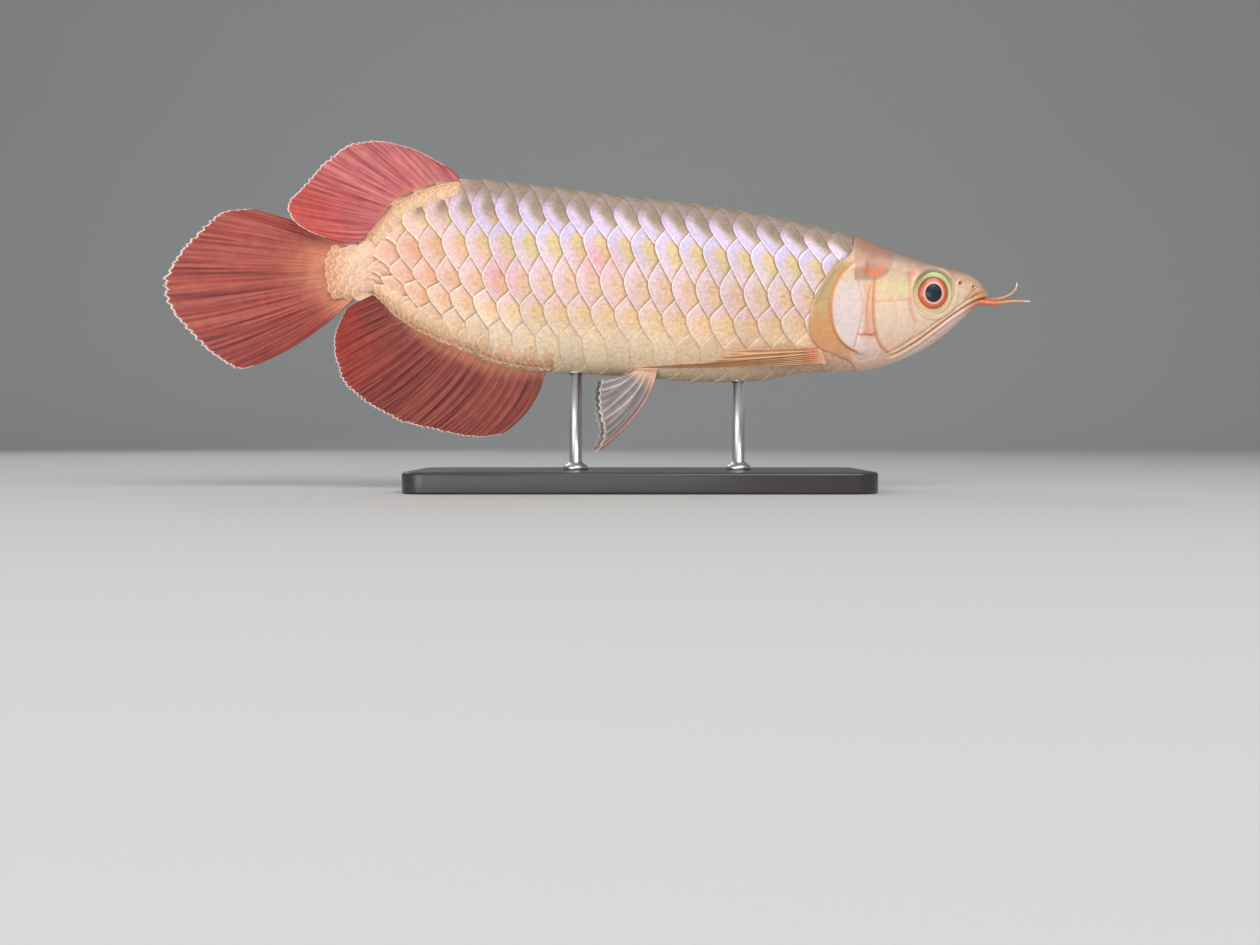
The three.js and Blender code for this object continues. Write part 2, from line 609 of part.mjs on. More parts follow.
const TAIL_ROOT = [[-115, 0, 116.8], [-115.4, 0, 106], [-115, 0, 93.8]];
const TAIL_MARGIN = [[-167, 0, 136.8], [-181.2, 0, 134.7], [-195.7, 0, 122.4], [TAIL_FIN_X + 1.7, 0, 107],
  [TAIL_FIN_X, 0, 100.8], [-208.4, 0, 92.5], [-198.9, 0, 78.6], [-182.2, 0, 64], [-172, 0, 59], [-164.6, 0, 60.2]];
const tailPoint = fanPoint(lineThrough(TAIL_ROOT), lineThrough(TAIL_MARGIN),
  (across) => [0, 2 - 5.8 * across],
  (across, along) => 5 * along * along * Math.sin(2.6 * across + 0.4) + along * (1.2 - 4 * across));
addNode("caudal_fin", finSolid(17, 6, tailPoint).subtract(trunkCutter), RED_FIN);

const DORSAL_ROOT = [[-62, 0, 147.4], [-73, 0, 145.8], [-85, 0, 142], [-94, 0, 137], [-100, 0, 130.4], [-105, 0, 124],
  [-108.6, 0, 120.6]];
const DORSAL_MARGIN = [[-72, 0, 156.5], [-86, 0, 164.2], [-103, 0, 168.6], [-118, 0, 166.6], [-129.5, 0, 158],
  [-138.6, 0, 147.4], [-146.4, 0, 137.6], [-144.6, 0, 130.4], [-136.5, 0, 124.6], [-129, 0, 121.8]];
const dorsalPoint = fanPoint(lineThrough(DORSAL_ROOT), lineThrough(DORSAL_MARGIN),
  (across) => [0, 1.5 - 3 * across],
  (across, along) => 2.2 * along * Math.sin(5 * across) - (1.6 + 1.8 * across) * along * along);
addNode("dorsal_fin", finSolid(20, 4, dorsalPoint).subtract(trunkCutter), RED_FIN);

const ANAL_ROOT = [[-23, 0, 60.2], [-45.5, 0, 63.6], [-57.7, 0, 68.4], [-74, 0, 74.4], [-85.3, 0, 80.2],
  [-95.4, 0, 87], [-104, 0, 95.6]];
const ANAL_MARGIN = [[-45, 0, 27.2], [-58.1, 0, 25.8], [-81.4, 0, 30.3], [-96.6, 0, 34.9], [-113.4, 0, 45.2],
  [-121.6, 0, 54], [-125.1, 0, 67], [-124.6, 0, 76], [-119.5, 0, 87.5]];
const analPoint = fanPoint(lineThrough(ANAL_ROOT), lineThrough(ANAL_MARGIN),
  (across) => [3.6 - 4 * across, -2.6 + 3 * across],
  (across, along) => 2.4 * along * Math.sin(4.2 * across + 0.6) - 1.2 * along);
addNode("anal_fin", finSolid(25, 4, analPoint).subtract(trunkCutter), RED_FIN);

// Paired fins hang from the belly and the flank; the right ones are at -Y
function pairedFin(name, rays, steps, rootPoints, marginPoints, bow, side, shiftX) {
  const place = ([x, y, z]) => [x + shiftX, y * side, z];
  const rootLine = lineThrough(rootPoints.map(place));
  const marginLine = lineThrough(marginPoints.map(place));
  const pointAt = fanPoint(rootLine, marginLine, bow, () => 0);
  addNode(name, finSolid(rays, steps, pointAt).subtract(trunkCutter).subtract(headCutter), PALE_FIN);
}

const PELVIC_ROOT = [[30.5, 7.5, 58.6], [26, 8, 58.4], [20.5, 8.5, 58]];
const PELVIC_MARGIN = [[1.5, 13, 18.2], [5, 14.4, 27.4], [3, 15.6, 36], [2.4, 15.8, 45.4], [4.2, 14.6, 53.6]];
const PECTORAL_ROOT = [[110.3, 12.2, 61.4], [108.7, 13.6, 64.7], [106.6, 14.6, 67.8]];
const PECTORAL_MARGIN = [[18.4, 27.5, 58.2], [39.1, 28, 59.7], [55.4, 27.6, 60.9], [62.2, 26.6, 63.8],
  [70.1, 24, 67.2]];
[["right", -1, 0], ["left", 1, -3]].forEach(([sideName, side, shiftX]) => {
  pairedFin(`pelvic_fin_${sideName}`, 6, 5, PELVIC_ROOT, PELVIC_MARGIN,
    (across) => [5 - 6 * across, -1 - across], side, shiftX);
  pairedFin(`pectoral_fin_${sideName}`, 8, 6, PECTORAL_ROOT, PECTORAL_MARGIN,
    (across) => [0, -0.6 * (1 - across)], side, shiftX);
});

// Barbels on the tip of the lower jaw
const BARBEL_ROOT_RADIUS = 1.1;
const BARBEL_TIP_RADIUS = 0.35;
const BARBEL_SIDES = 8;

function barbel(points) {
  const line = lineThrough(points);
  const steps = 12;
  const rings = [];
  for (let row = 0; row <= steps; row += 1) {
    const along = row / steps;
    const centre = line.getPointAt(along);
    const forward = line.getTangentAt(along);
    const sideways = new THREE.Vector3(0, 0, 1).cross(forward).normalize();
    const upward = forward.clone().cross(sideways);
    const radius = BARBEL_ROOT_RADIUS + (BARBEL_TIP_RADIUS - BARBEL_ROOT_RADIUS) * along;
    const ring = [];
    for (let k = 0; k < BARBEL_SIDES; k += 1) {
      const angle = (-k / BARBEL_SIDES) * 2 * Math.PI;
      ring.push(centre.clone()
        .addScaledVector(sideways, radius * Math.cos(angle))
        .addScaledVector(upward, radius * Math.sin(angle)));
    }
    rings.push(ring);
  }
  return loft(rings.reverse()).subtract(headCutter);
}

addNode("barbel_right", barbel([[183, -2.6, 91.4], [188, -3.8, 90.6], [193, -4.8, 90.1], [201, -5.6, 91],
  [209.9, -5.2, 91]]), BARBEL_SKIN);
addNode("barbel_left", barbel([[183, 2.6, 91.8], [189, 4.4, 92.2], [196, 6, 93], [202.5, 7, 95], [205.9, 7.4, 97.9],
  [206.9, 7.6, 101.4]]), BARBEL_SKIN);

// Stand: a flat base and two round rods up to the belly
const BASE = { centreX: 22, length: 220, width: 90, height: 10, cornerRadius: 12 };
const ROD_RADIUS = 3;
const ROD_FRONT_X = 70;
const ROD_REAR_X = -9;
const ROD_SIDES = 20;

function baseSolid() {
  const halfLength = BASE.length / 2;
  const halfWidth = BASE.width / 2;
  const r = BASE.cornerRadius;
  const shape = new THREE.Shape();
  shape.moveTo(-halfLength + r, -halfWidth);
  shape.lineTo(halfLength - r, -halfWidth);
  shape.absarc(halfLength - r, -halfWidth + r, r, -Math.PI / 2, 0);
  shape.absarc(halfLength - r, halfWidth - r, r, 0, Math.PI / 2);
  shape.absarc(-halfLength + r, halfWidth - r, r, Math.PI / 2, Math.PI);
  shape.absarc(-halfLength + r, -halfWidth + r, r, Math.PI, 1.5 * Math.PI);
  const geometry = new THREE.ExtrudeGeometry(shape, { depth: BASE.height, bevelEnabled: false, curveSegments: 5 });
  geometry.translate(BASE.centreX, 0, 0);
  return toSolid(geometry);
}

function rodSolid(x) {
  const top = bellyAt(x) + ROOT_DEPTH;
  const bottom = BASE.height + GAP;
  const geometry = new THREE.CylinderGeometry(ROD_RADIUS, ROD_RADIUS, top - bottom, ROD_SIDES);
  geometry.rotateX(Math.PI / 2);
  geometry.translate(x, 0, (top + bottom) / 2);
  return toSolid(geometry).subtract(trunkCutter);
}

addNode("stand_base", baseSolid(), STAND_BASE_FINISH);
addNode("stand_rod_front", rodSolid(ROD_FRONT_X), STAND_ROD_FINISH);
addNode("stand_rod_rear", rodSolid(ROD_REAR_X), STAND_ROD_FINISH);

export default model;
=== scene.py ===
import math

import bpy
import numpy as np
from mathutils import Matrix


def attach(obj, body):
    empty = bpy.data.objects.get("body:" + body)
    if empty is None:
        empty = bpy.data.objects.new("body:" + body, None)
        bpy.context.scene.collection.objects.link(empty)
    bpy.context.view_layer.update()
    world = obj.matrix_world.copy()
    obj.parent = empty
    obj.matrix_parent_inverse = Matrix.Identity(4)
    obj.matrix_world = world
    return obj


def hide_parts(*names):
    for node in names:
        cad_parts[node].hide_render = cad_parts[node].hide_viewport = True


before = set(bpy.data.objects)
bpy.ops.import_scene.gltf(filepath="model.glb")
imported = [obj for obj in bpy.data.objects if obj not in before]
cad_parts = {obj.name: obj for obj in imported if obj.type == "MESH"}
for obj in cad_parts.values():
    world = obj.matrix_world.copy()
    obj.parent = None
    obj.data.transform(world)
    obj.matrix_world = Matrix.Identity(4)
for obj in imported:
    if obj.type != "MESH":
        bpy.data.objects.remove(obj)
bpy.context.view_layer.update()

# The body of the arowana
# A deep, flat-sided fish with an almost straight back and a head that is flat on top. Its wet skin is one
# closed surface from the snout to the root of the tail fin, laid through lines for the back, the belly and
# the width. Sizes are real millimetres.

MM = 0.001
SNOUT_X = 190.0
SKIN_REAR_X = -121.0
BACK = [(-121, 119.2), (-113, 120.2), (-107, 126), (-101, 134.2), (-95.4, 140.5), (-85.8, 145.2),
        (-72.7, 149.1), (-57.7, 150), (-26.2, 146.8), (12.6, 142.1), (51.4, 137.6), (80.4, 133),
        (99.8, 128.9), (119.2, 123.9), (138.6, 117), (157.9, 110.7), (170, 107.4), (177.3, 105.3),
        (183.1, 102.4), (187, 99), (189.2, 96.2), (190, 94)]
BELLY = [(-121, 90.6), (-113, 93.5), (-107, 94.3), (-101, 89.2), (-95.4, 83.4), (-85.8, 77.1), (-72.7, 71),
         (-57.7, 65.4), (-45.5, 60.6), (-26.2, 57.4), (12.6, 55.5), (51.4, 52.6), (80.4, 53), (99.8, 56.7),
         (119.2, 57.7), (138.6, 60.3), (148.3, 63.5), (157.9, 67.9), (167.6, 74), (177.3, 82.6),
         (183.1, 87.7), (187, 90.6), (189.2, 92.2), (190, 93.4)]
HALF_WIDTH = [(-121, 4.2), (-107, 6.4), (-95, 8.2), (-72, 11.8), (-45, 15.4), (-25, 17.8), (10, 20.8),
              (40, 21.8), (75, 21.8), (100, 20.8), (120, 19.4), (138, 17.2), (148, 15.6), (158, 13.8),
              (167, 12), (177, 9.4), (183, 7.4), (187, 5.2), (189.2, 3), (190, 1.2)]
WIDEST_UP = 0.6
ROUND_ABOVE_TRUNK, ROUND_ABOVE_HEAD = 2.3, 3.1
ROUND_BELOW_TRUNK, ROUND_BELOW_HEAD = 1.95, 1.7
HEAD_STARTS_X, HEAD_FULL_X = 105.0, 150.0


def curve_through(points):
    """A smooth function of x that passes through points of (x, value)."""
    xs, values = np.array(points, float).T
    before = np.clip(np.arange(len(xs)) - 1, 0, None)
    after = np.clip(np.arange(len(xs)) + 1, None, len(xs) - 1)
    slopes = (values[after] - values[before]) / (xs[after] - xs[before])

    def at(x):
        x = np.asarray(x, float)
        k = np.clip(np.searchsorted(xs, x) - 1, 0, len(xs) - 2)
        width = xs[k + 1] - xs[k]
        t = np.clip((x - xs[k]) / width, 0, 1)
        rise = 3 * t * t - 2 * t ** 3
        bent = t * (1 - t) ** 2 * width * slopes[k] + t * t * (t - 1) * width * slopes[k + 1]
        return values[k] + (values[k + 1] - values[k]) * rise + bent

    return at


back_at = curve_through(BACK)
belly_at = curve_through(BELLY)
half_width_at = curve_through(HALF_WIDTH)


def smooth(low, high, value):
    """0 at low and 1 at high, with a soft step between them. The high end may be the smaller one."""
    t = np.clip((np.asarray(value, float) - low) / (high - low), 0, 1)
    return t * t * (3 - 2 * t)


def bell(value, width):
    """1 where the value is 0, falling off softly within the width on both sides."""
    return np.exp(-((value / width) ** 2))


def skin_point(x, angle):
    """A place on the plain body, at an angle round it that is 0 on the back and half a turn on the belly."""
    head = smooth(HEAD_STARTS_X, HEAD_FULL_X, x)
    back, belly = back_at(x), belly_at(x)
    middle = belly + (back - belly) * WIDEST_UP
    above = np.cos(angle) >= 0
    roundness = np.where(above, ROUND_ABOVE_TRUNK + (ROUND_ABOVE_HEAD - ROUND_ABOVE_TRUNK) * head,
                         ROUND_BELOW_TRUNK + (ROUND_BELOW_HEAD - ROUND_BELOW_TRUNK) * head)
    reach = np.where(above, back - middle, belly - middle)
    y = half_width_at(x) * np.sign(np.sin(angle)) * np.abs(np.sin(angle)) ** (2 / roundness)
    z = middle + reach * np.abs(np.cos(angle)) ** (2 / roundness)
    return np.stack(np.broadcast_arrays(np.asarray(x, float), y, z), -1)


def lifted_point(x, angle, lift):
    """A place above the plain body, or below it for a negative lift, in millimetres."""
    step_x, step_angle = 0.4, 0.02
    along = skin_point(x + step_x, angle) - skin_point(x - step_x, angle)
    around = skin_point(x, angle + step_angle) - skin_point(x, angle - step_angle)
    normal = np.cross(along, around)
    normal /= np.linalg.norm(normal, axis=-1, keepdims=True) + 1e-12
    return skin_point(x, angle) + normal * np.asarray(lift)[..., None]


# The head: bones under thin skin
# Grooves and low steps mark the bones: the gill cover with its soft rear edge, the plates of the cheek,
# the long upper jaw over the mouth slit, and the nostrils. The gill, gill cover and mouth lines run from the
# top or the front backwards, so that places on their two sides can be told apart.

GILL_EDGE = [(126.2, 140), (126.2, 115.5), (118.6, 110.6), (113.4, 105.0), (109.4, 98.7), (106.4, 92.5),
             (104.6, 86.1), (103.7, 78.5), (105.2, 72.5), (110.5, 68.2), (119, 65), (127, 61.5), (131, 40)]
OPERCLE_EDGE = [(126.5, 110.4), (123.5, 108.2), (118.7, 103.6), (115.7, 97.3), (114.6, 89.8), (115, 81.7),
                (117.6, 74.3), (122, 70), (126.8, 67.6)]
OPERCLE_FRONT = [(125.2, 106.5), (129.2, 98.5), (130.6, 89.1), (129.6, 82.4), (128, 76.5), (125.9, 69.8)]
PREOPERCLE_REAR = [(134.0, 99.5), (132.6, 92), (131.7, 83.9), (132.8, 77.2)]
PREOPERCLE_FRONT = [(135.9, 102), (135.3, 92), (135.2, 83.9), (136.3, 76.5), (138.4, 69.8), (142.2, 66.8)]
SUBOPERCLE = [(128, 75.6), (136.1, 74.9), (138.2, 69), (136.2, 65.4), (129.4, 63.2), (126.2, 64.7),
              (125.9, 69)]
CHEEK_DIVIDE = [(136, 91.0), (144, 91.8), (152.6, 92.2)]
CHEEK_FRONT = [(152.6, 104.5), (153.4, 96.5), (152.7, 88.6), (155.6, 82.0)]
CHEEK_BELOW = [(156.2, 80.5), (156.6, 76.5), (151.5, 71.4), (144.5, 66.8)]
MOUTH_SLIT = [(192, 93.6), (187, 93), (180.7, 89.9), (174.4, 85.8), (164.1, 78.2), (156, 72.1),
              (146.3, 66.4), (141, 64.5)]
JAW_BONE_TOP = [(185.5, 94.6), (180.2, 91.9), (174.5, 87.8), (165.1, 81.2), (156.2, 74.6), (147.3, 69.2),
                (141.5, 66.4)]
LOWER_LIP_EDGE = [(187.2, 90.9), (180.5, 87.2), (174.0, 83.0), (164, 75.6), (155.6, 69.8), (147, 65.2)]
SNOUT_LIP_EDGE = [(189.5, 96.8), (186.6, 98.9), (183.6, 96.6), (181.4, 94.4), (180.2, 92.4)]
EYE_X, EYE_Z = 164.5, 95.6
EYE_RING = (9.7, 10.8)
NOSTRILS = [(177.2, 100.2, 1.15), (183.3, 98.6, 0.8)]
GILL_STEP, COVER_STEP, COVER_FRONT_X = 1.25, 0.75, 131.0
MOUTH_DEPTH, UPPER_LIP_RISE, LOWER_LIP_RISE = 1.1, 0.55, 0.6
EYE_RIM_RISE, EYE_SOCKET_DEPTH = 0.5, 3.6
NOSTRIL_RIM_RISE, NOSTRIL_DEPTH = 0.5, 1.5
# Each groove has its line, its depth and its half width.
BONE_GROOVES = [
    (OPERCLE_FRONT, 0.45, 0.6), (PREOPERCLE_REAR, 0.3, 0.5), (PREOPERCLE_FRONT, 0.42, 0.6),
    (SUBOPERCLE + SUBOPERCLE[:1], 0.32, 0.5), (CHEEK_DIVIDE, 0.16, 0.7), (CHEEK_FRONT, 0.34, 0.8),
    (CHEEK_BELOW, 0.3, 0.7), (JAW_BONE_TOP, 0.42, 0.42), (LOWER_LIP_EDGE, 0.28, 0.5),
    (SNOUT_LIP_EDGE, 0.35, 0.5)]


def line_distance(x, z, line):
    """Distance to a line, with its sign: positive to the left of its direction."""
    nearest = np.full(np.shape(x), 1e9)
    signed = np.full(np.shape(x), 1e9)
    for (x0, z0), (x1, z1) in zip(line, line[1:]):
        run, rise = x1 - x0, z1 - z0
        t = np.clip(((x - x0) * run + (z - z0) * rise) / (run * run + rise * rise), 0, 1)
        distance = np.hypot(x - x0 - t * run, z - z0 - t * rise)
        side = np.sign(run * (z - z0) - rise * (x - x0))
        closer = distance < nearest
        signed = np.where(closer, side * distance, signed)
        nearest = np.where(closer, distance, nearest)
    return nearest, signed


def rounded_line(line, count=40):
    """The same line with its corners rounded, as points at even steps."""
    points = np.array(line, float)
    for _ in range(3):
        first = points[:-1] * 0.75 + points[1:] * 0.25
        second = points[:-1] * 0.25 + points[1:] * 0.75
        points = np.vstack([points[:1], np.stack([first, second], 1).reshape(-1, 2), points[-1:]])
    lengths = np.concatenate([[0], np.cumsum(np.linalg.norm(np.diff(points, axis=0), axis=1))])
    even = np.linspace(0, lengths[-1], count)
    return [(np.interp(s, lengths, points[:, 0]), np.interp(s, lengths, points[:, 1])) for s in even]


# The lines above are measured as the camera sees them against the fish's middle plane. This carries a place
# on the skin, which is nearer to the camera, onto that plane.
CAMERA_X, CAMERA_AWAY, CAMERA_Z = 17.4, 680.0, 30.0


def as_seen(points):
    """Where places on either side appear on the middle plane, as x and z."""
    nearer = CAMERA_AWAY / (CAMERA_AWAY - np.abs(points[..., 1]))
    return CAMERA_X + (points[..., 0] - CAMERA_X) * nearer, CAMERA_Z + (points[..., 2] - CAMERA_Z) * nearer


gill_edge = rounded_line(GILL_EDGE)
opercle_edge = rounded_line(OPERCLE_EDGE)
mouth_slit = rounded_line(MOUTH_SLIT, 60)


def from_spot(x, z, spot_x, spot_z, reach_x, reach_z):
    """Distance from the middle of an oval spot, 1 at its rim."""
    return np.hypot((x - spot_x) / reach_x, (z - spot_z) / reach_z)


def ahead_of_gill(x, z):
    """Positive in front of the gill opening's edge, in millimetres."""
    return line_distance(x, z, gill_edge)[1]


def head_relief(x, z, on_side):
    """How far the bones, lips and rims stand above the plain skin, and the grooves below it."""
    from_gill = ahead_of_gill(x, z)
    near_opercle, from_opercle = line_distance(x, z, opercle_edge)
    relief = GILL_STEP * smooth(-0.25, 0.3, from_gill) * (1 - 0.75 * smooth(0.5, 16, from_gill))
    relief -= 0.5 * bell(from_gill + 0.5, 0.5)
    in_cover = smooth(-0.2, 0.35, from_opercle) * smooth(2, 0, x - COVER_FRONT_X)
    in_cover = in_cover * smooth(64, 69, z) * smooth(112, 106, z)
    relief += COVER_STEP * in_cover * smooth(12, 2, near_opercle) * on_side
    relief -= 0.4 * bell(from_opercle + 0.35, 0.4) * smooth(112, 107, z) * smooth(66, 69, z) * on_side
    for line, depth, width in BONE_GROOVES:
        relief -= depth * bell(line_distance(x, z, rounded_line(line))[0], width) * on_side
    near_mouth, below_mouth = line_distance(x, z, mouth_slit)
    mouth_fade = smooth(140.5, 146, x)
    relief -= MOUTH_DEPTH * bell(near_mouth, 0.38) * mouth_fade
    relief += UPPER_LIP_RISE * bell(below_mouth + 1.15, 0.8) * mouth_fade
    relief += LOWER_LIP_RISE * bell(below_mouth - 1.2, 0.8) * mouth_fade
    relief -= 0.25 * bell(below_mouth - 2.6, 0.35) * mouth_fade
    from_eye = from_spot(x, z, EYE_X, EYE_Z, *EYE_RING)
    relief += EYE_RIM_RISE * bell(from_eye - 1.12, 0.07) * on_side
    relief -= EYE_SOCKET_DEPTH * smooth(1.03, 0.93, from_eye) * on_side
    for nostril_x, nostril_z, radius in NOSTRILS:
        away = from_spot(x, z, nostril_x, nostril_z, radius, radius)
        rim = NOSTRIL_RIM_RISE * bell(away - 1.25, 0.35)
        relief += (rim - NOSTRIL_DEPTH * smooth(1.0, 0.45, away)) * on_side
    return relief


def linear(hex_colour):
    """Linear colour from an sRGB hex value."""
    srgb = np.array([int(hex_colour[i:i + 2], 16) / 255 for i in (1, 3, 5)])
    return np.where(srgb <= 0.04045, srgb / 12.92, ((srgb + 0.055) / 1.055) ** 2.4)


def painted(colours, *layers):
    """Linear colours with layers over them, each a hex colour and its share at every place."""
    for hex_colour, share in layers:
        share = np.clip(np.asarray(share, float), 0, 1)[..., None]
        colours = colours * (1 - share) + linear(hex_colour) * share
    return colours


# Colours of the head: grey beige above, cream and peach cheeks with a touch of green at their top, a brown
# patch on the nape, orange rims on the gill cover and a reddish snout.
GREEN_PATCHES = [(148, 99.5, 12, 5.5, "#DCD69A", 0.55), (131, 102, 8, 5, "#CFC486", 0.6)]
BONE_RIMS = [(PREOPERCLE_FRONT, 0.8, 0.75), (PREOPERCLE_REAR, 0.6, 0.5), (CHEEK_DIVIDE, 0.7, 0.25),
             (CHEEK_FRONT, 1.0, 0.45), (OPERCLE_FRONT, 0.6, 0.3)]
ORANGE_SPOTS = [(131.6, 106.6, 1.6), (133.4, 105.4, 1.5), (136.9, 105.4, 1.9), (138.5, 107, 1.3),
                (154.6, 105.4, 1.3)]


def head_colours(x, z, depth):
    """Colours at places seen from the side. The depth runs from 0 on the back to 1 on the belly."""
    from_gill = ahead_of_gill(x, z)
    from_opercle = line_distance(x, z, opercle_edge)[1]
    near_slit, below_slit = line_distance(x, z, mouth_slit)
    low = smooth(113, 108, z) * smooth(64, 68, z)
    membrane = smooth(-0.3, 0.6, from_gill) * smooth(0.4, -0.4, from_opercle)
    membrane = membrane * smooth(126, 120, x) * smooth(117, 108, z)
    cover = smooth(-0.1, 0.8, from_opercle) * smooth(131.8, 129.0, x + 0.5 * np.sin(0.9 * z)) * low
    lower_cover = bell(from_spot(x, z, 131.8, 69.2, 5.4, 6.2) ** 3, 1.0)
    strip = smooth(129.2, 131.4, x) * smooth(137, 134.8, x) * smooth(72, 76, z) * smooth(105, 100, z)
    mark = bell(z - 75.6 - 0.3 * np.sin(1.4 * x), 0.9) * smooth(126.8, 129, x) * smooth(137.6, 135.8, x)
    nape = np.hypot(np.maximum(x - 134.5, 0) / 9.6, np.maximum(112 - z, 0) / 9.8)
    patch = smooth(125.4, 126.2, x) * smooth(1.12, 0.86, nape)
    snout = smooth(174, 186, x) * smooth(91.5, 94, z)
    jaw = smooth(142, 150, x)
    near_bone = line_distance(x, z, rounded_line(JAW_BONE_TOP))[0]
    colours = painted(linear("#F6D8BE"), ("#F2D0AC", smooth(0.62, 0.3, depth) * 0.8))
    for spot_x, spot_z, reach_x, reach_z, green, share in GREEN_PATCHES:
        away = from_spot(x, z, spot_x, spot_z, reach_x, reach_z)
        colours = painted(colours, (green, bell(away, 0.9) * share))
    colours = painted(
        colours,
        ("#C09F86", smooth(0.34, 0.14, depth)),
        ("#857364", smooth(0.15, 0.01, depth) * 0.85),
        ("#FACDB4", smooth(0.6, 0.95, depth) * 0.9),
        ("#C2A56E", membrane * 0.85),
        ("#E3A36E", membrane * smooth(96, 78, z) * 0.9),
        ("#EDB08E", membrane * smooth(74, 64, z) * 0.9),
        ("#A98A5E", membrane * smooth(4.0, 1.0, from_gill) * smooth(88, 96, z) * 0.5),
        ("#F1DCD6", cover * 0.95),
        ("#E8CB9E", cover * bell(z - 105, 4) * 0.7),
        ("#F3D6CE", lower_cover * 0.8),
        ("#E9975A", bell(from_opercle + 0.1, 0.8) * low * 0.9),
        ("#F0BC9E", strip * 0.8))
    for line, width, share in BONE_RIMS:
        near = line_distance(x, z, rounded_line(line))[0]
        colours = painted(colours, ("#DE8A58", bell(near, width) * share))
    colours = painted(
        colours,
        ("#DE6E44", mark * 0.8),
        ("#A8735E", patch * 0.62),
        ("#C08A76", patch * bell(np.hypot(x - 130.5, z - 109.5), 4.0) * 0.6),
        ("#7F6A5A", bell(nape - 1.0, 0.08) * smooth(125.4, 128.5, x) * 0.25))
    for spot_x, spot_z, radius in ORANGE_SPOTS:
        colours = painted(colours, ("#F07A50", bell(np.hypot(x - spot_x, z - spot_z), radius) * 0.8))
    colours = painted(
        colours,
        ("#C59C7C", snout * 0.6),
        ("#D2704F", bell(near_slit - 1.9, 2.2) * smooth(176, 184, x) * 0.85),
        ("#F6DCD2", bell(below_slit - 2.8, 1.8) * jaw * smooth(184, 178, x) * 0.6),
        ("#DDBB83", bell(below_slit + 1.6, 1.1) * jaw * 0.45),
        # Painted shade in the mouth slit between the jaws.
        ("#9A6448", bell(near_slit, 0.4) * smooth(141, 150, x) * 0.6),
        ("#B88F62", bell(near_bone, 0.5) * 0.5),
        ("#B9A48A", bell(from_spot(x, z, EYE_X, EYE_Z, *EYE_RING) - 1.04, 0.045) * 0.6))
    # Painted shade in the nostril pits.
    for nostril_x, nostril_z, radius in NOSTRILS:
        away = from_spot(x, z, nostril_x, nostril_z, radius, radius)
        colours = painted(colours, ("#8A6248", smooth(0.95, 0.4, away) * 0.7))
    return colours


def add_node(tree, kind, inputs=None, **settings):
    """A node with its own settings, and its inputs set to values or linked to other nodes' outputs."""
    node = tree.nodes.new(kind)
    for name, value in settings.items():
        setattr(node, name, value)
    for name, value in (inputs or {}).items():
        if isinstance(value, bpy.types.NodeSocket):
            tree.links.new(value, node.inputs[name])
        else:
            node.inputs[name].default_value = value
    return node


def new_material(name):
    material = bpy.data.materials.new(name)
    material.use_nodes = True
    material.node_tree.nodes.clear()
    return material, material.node_tree


def finish_material(tree, shader):
    add_node(tree, "ShaderNodeOutputMaterial", {"Surface": shader.outputs[0]})


def mottled_tone(tree, place, spot_mm, low, high, spread=0.2, detail=5.0, roughness=0.5):
    """The painted colours, made darker and lighter in soft spots of the given size."""
    tone = add_node(tree, "ShaderNodeAttribute", attribute_name="tone")
    cloud = add_node(tree, "ShaderNodeTexNoise", {
        "Vector": place.outputs["Object"], "Scale": 1 / (spot_mm * MM), "Detail": detail,
        "Roughness": roughness})
    shade = add_node(tree, "ShaderNodeMapRange", {
        "Value": cloud.outputs["Fac"], "From Min": 0.5 - spread, "From Max": 0.5 + spread,
        "To Min": low, "To Max": high})
    return add_node(tree, "ShaderNodeMix", {"Factor": 1.0, 6: tone.outputs["Color"], 7: shade.outputs[0]},
                    data_type="RGBA", blend_type="MULTIPLY")


# Wet skin: smooth, faintly mottled and pitted, under a clear film of slime that gives the sharp highlights.
MOTTLE_MM = 2.4


def wet_skin(name, grain_mm, mottle, bump, roughness, coat):
    material, tree = new_material(name)
    place = add_node(tree, "ShaderNodeTexCoord")
    colour = mottled_tone(tree, place, MOTTLE_MM, 1 - mottle, 1 + 0.6 * mottle, roughness=0.75)
    grain = add_node(tree, "ShaderNodeTexNoise", {
        "Vector": place.outputs["Object"], "Scale": 1 / (grain_mm * MM), "Detail": 3.0, "Roughness": 0.6})
    pits = add_node(tree, "ShaderNodeBump", {
        "Height": grain.outputs["Fac"], "Strength": bump, "Distance": 0.0003})
    shader = add_node(tree, "ShaderNodeBsdfPrincipled", {
        "Base Color": colour.outputs[2], "Roughness": roughness, "IOR": 1.4, "Metallic": 0.08,
        "Coat Weight": coat, "Coat Roughness": 0.12, "Subsurface Weight": 0.12,
        "Subsurface Radius": (0.004, 0.002, 0.001), "Subsurface Scale": 1.0, "Normal": pits.outputs[0]})
    finish_material(tree, shader)
    return material


head_skin = wet_skin("wet_head_skin", grain_mm=0.7, mottle=0.15, bump=0.3, roughness=0.4, coat=0.3)

# The skin surface has rows along the fish, closer on the head, and columns set evenly round the girth of the
# cheek. Behind the gill opening it is sunk a little, under the scales.
HEAD_ROWS_X, SNOUT_ROWS_X = 96.0, 186.0
TRUNK_ROW_MM, HEAD_ROW_MM = 2.4, 0.38
CHEEK_X = 148.0
SKIN_COLUMNS = 440
SKIN_SUNK = 0.5
SNOUT_Z, TAIL_STALK_Z = 93.7, 105


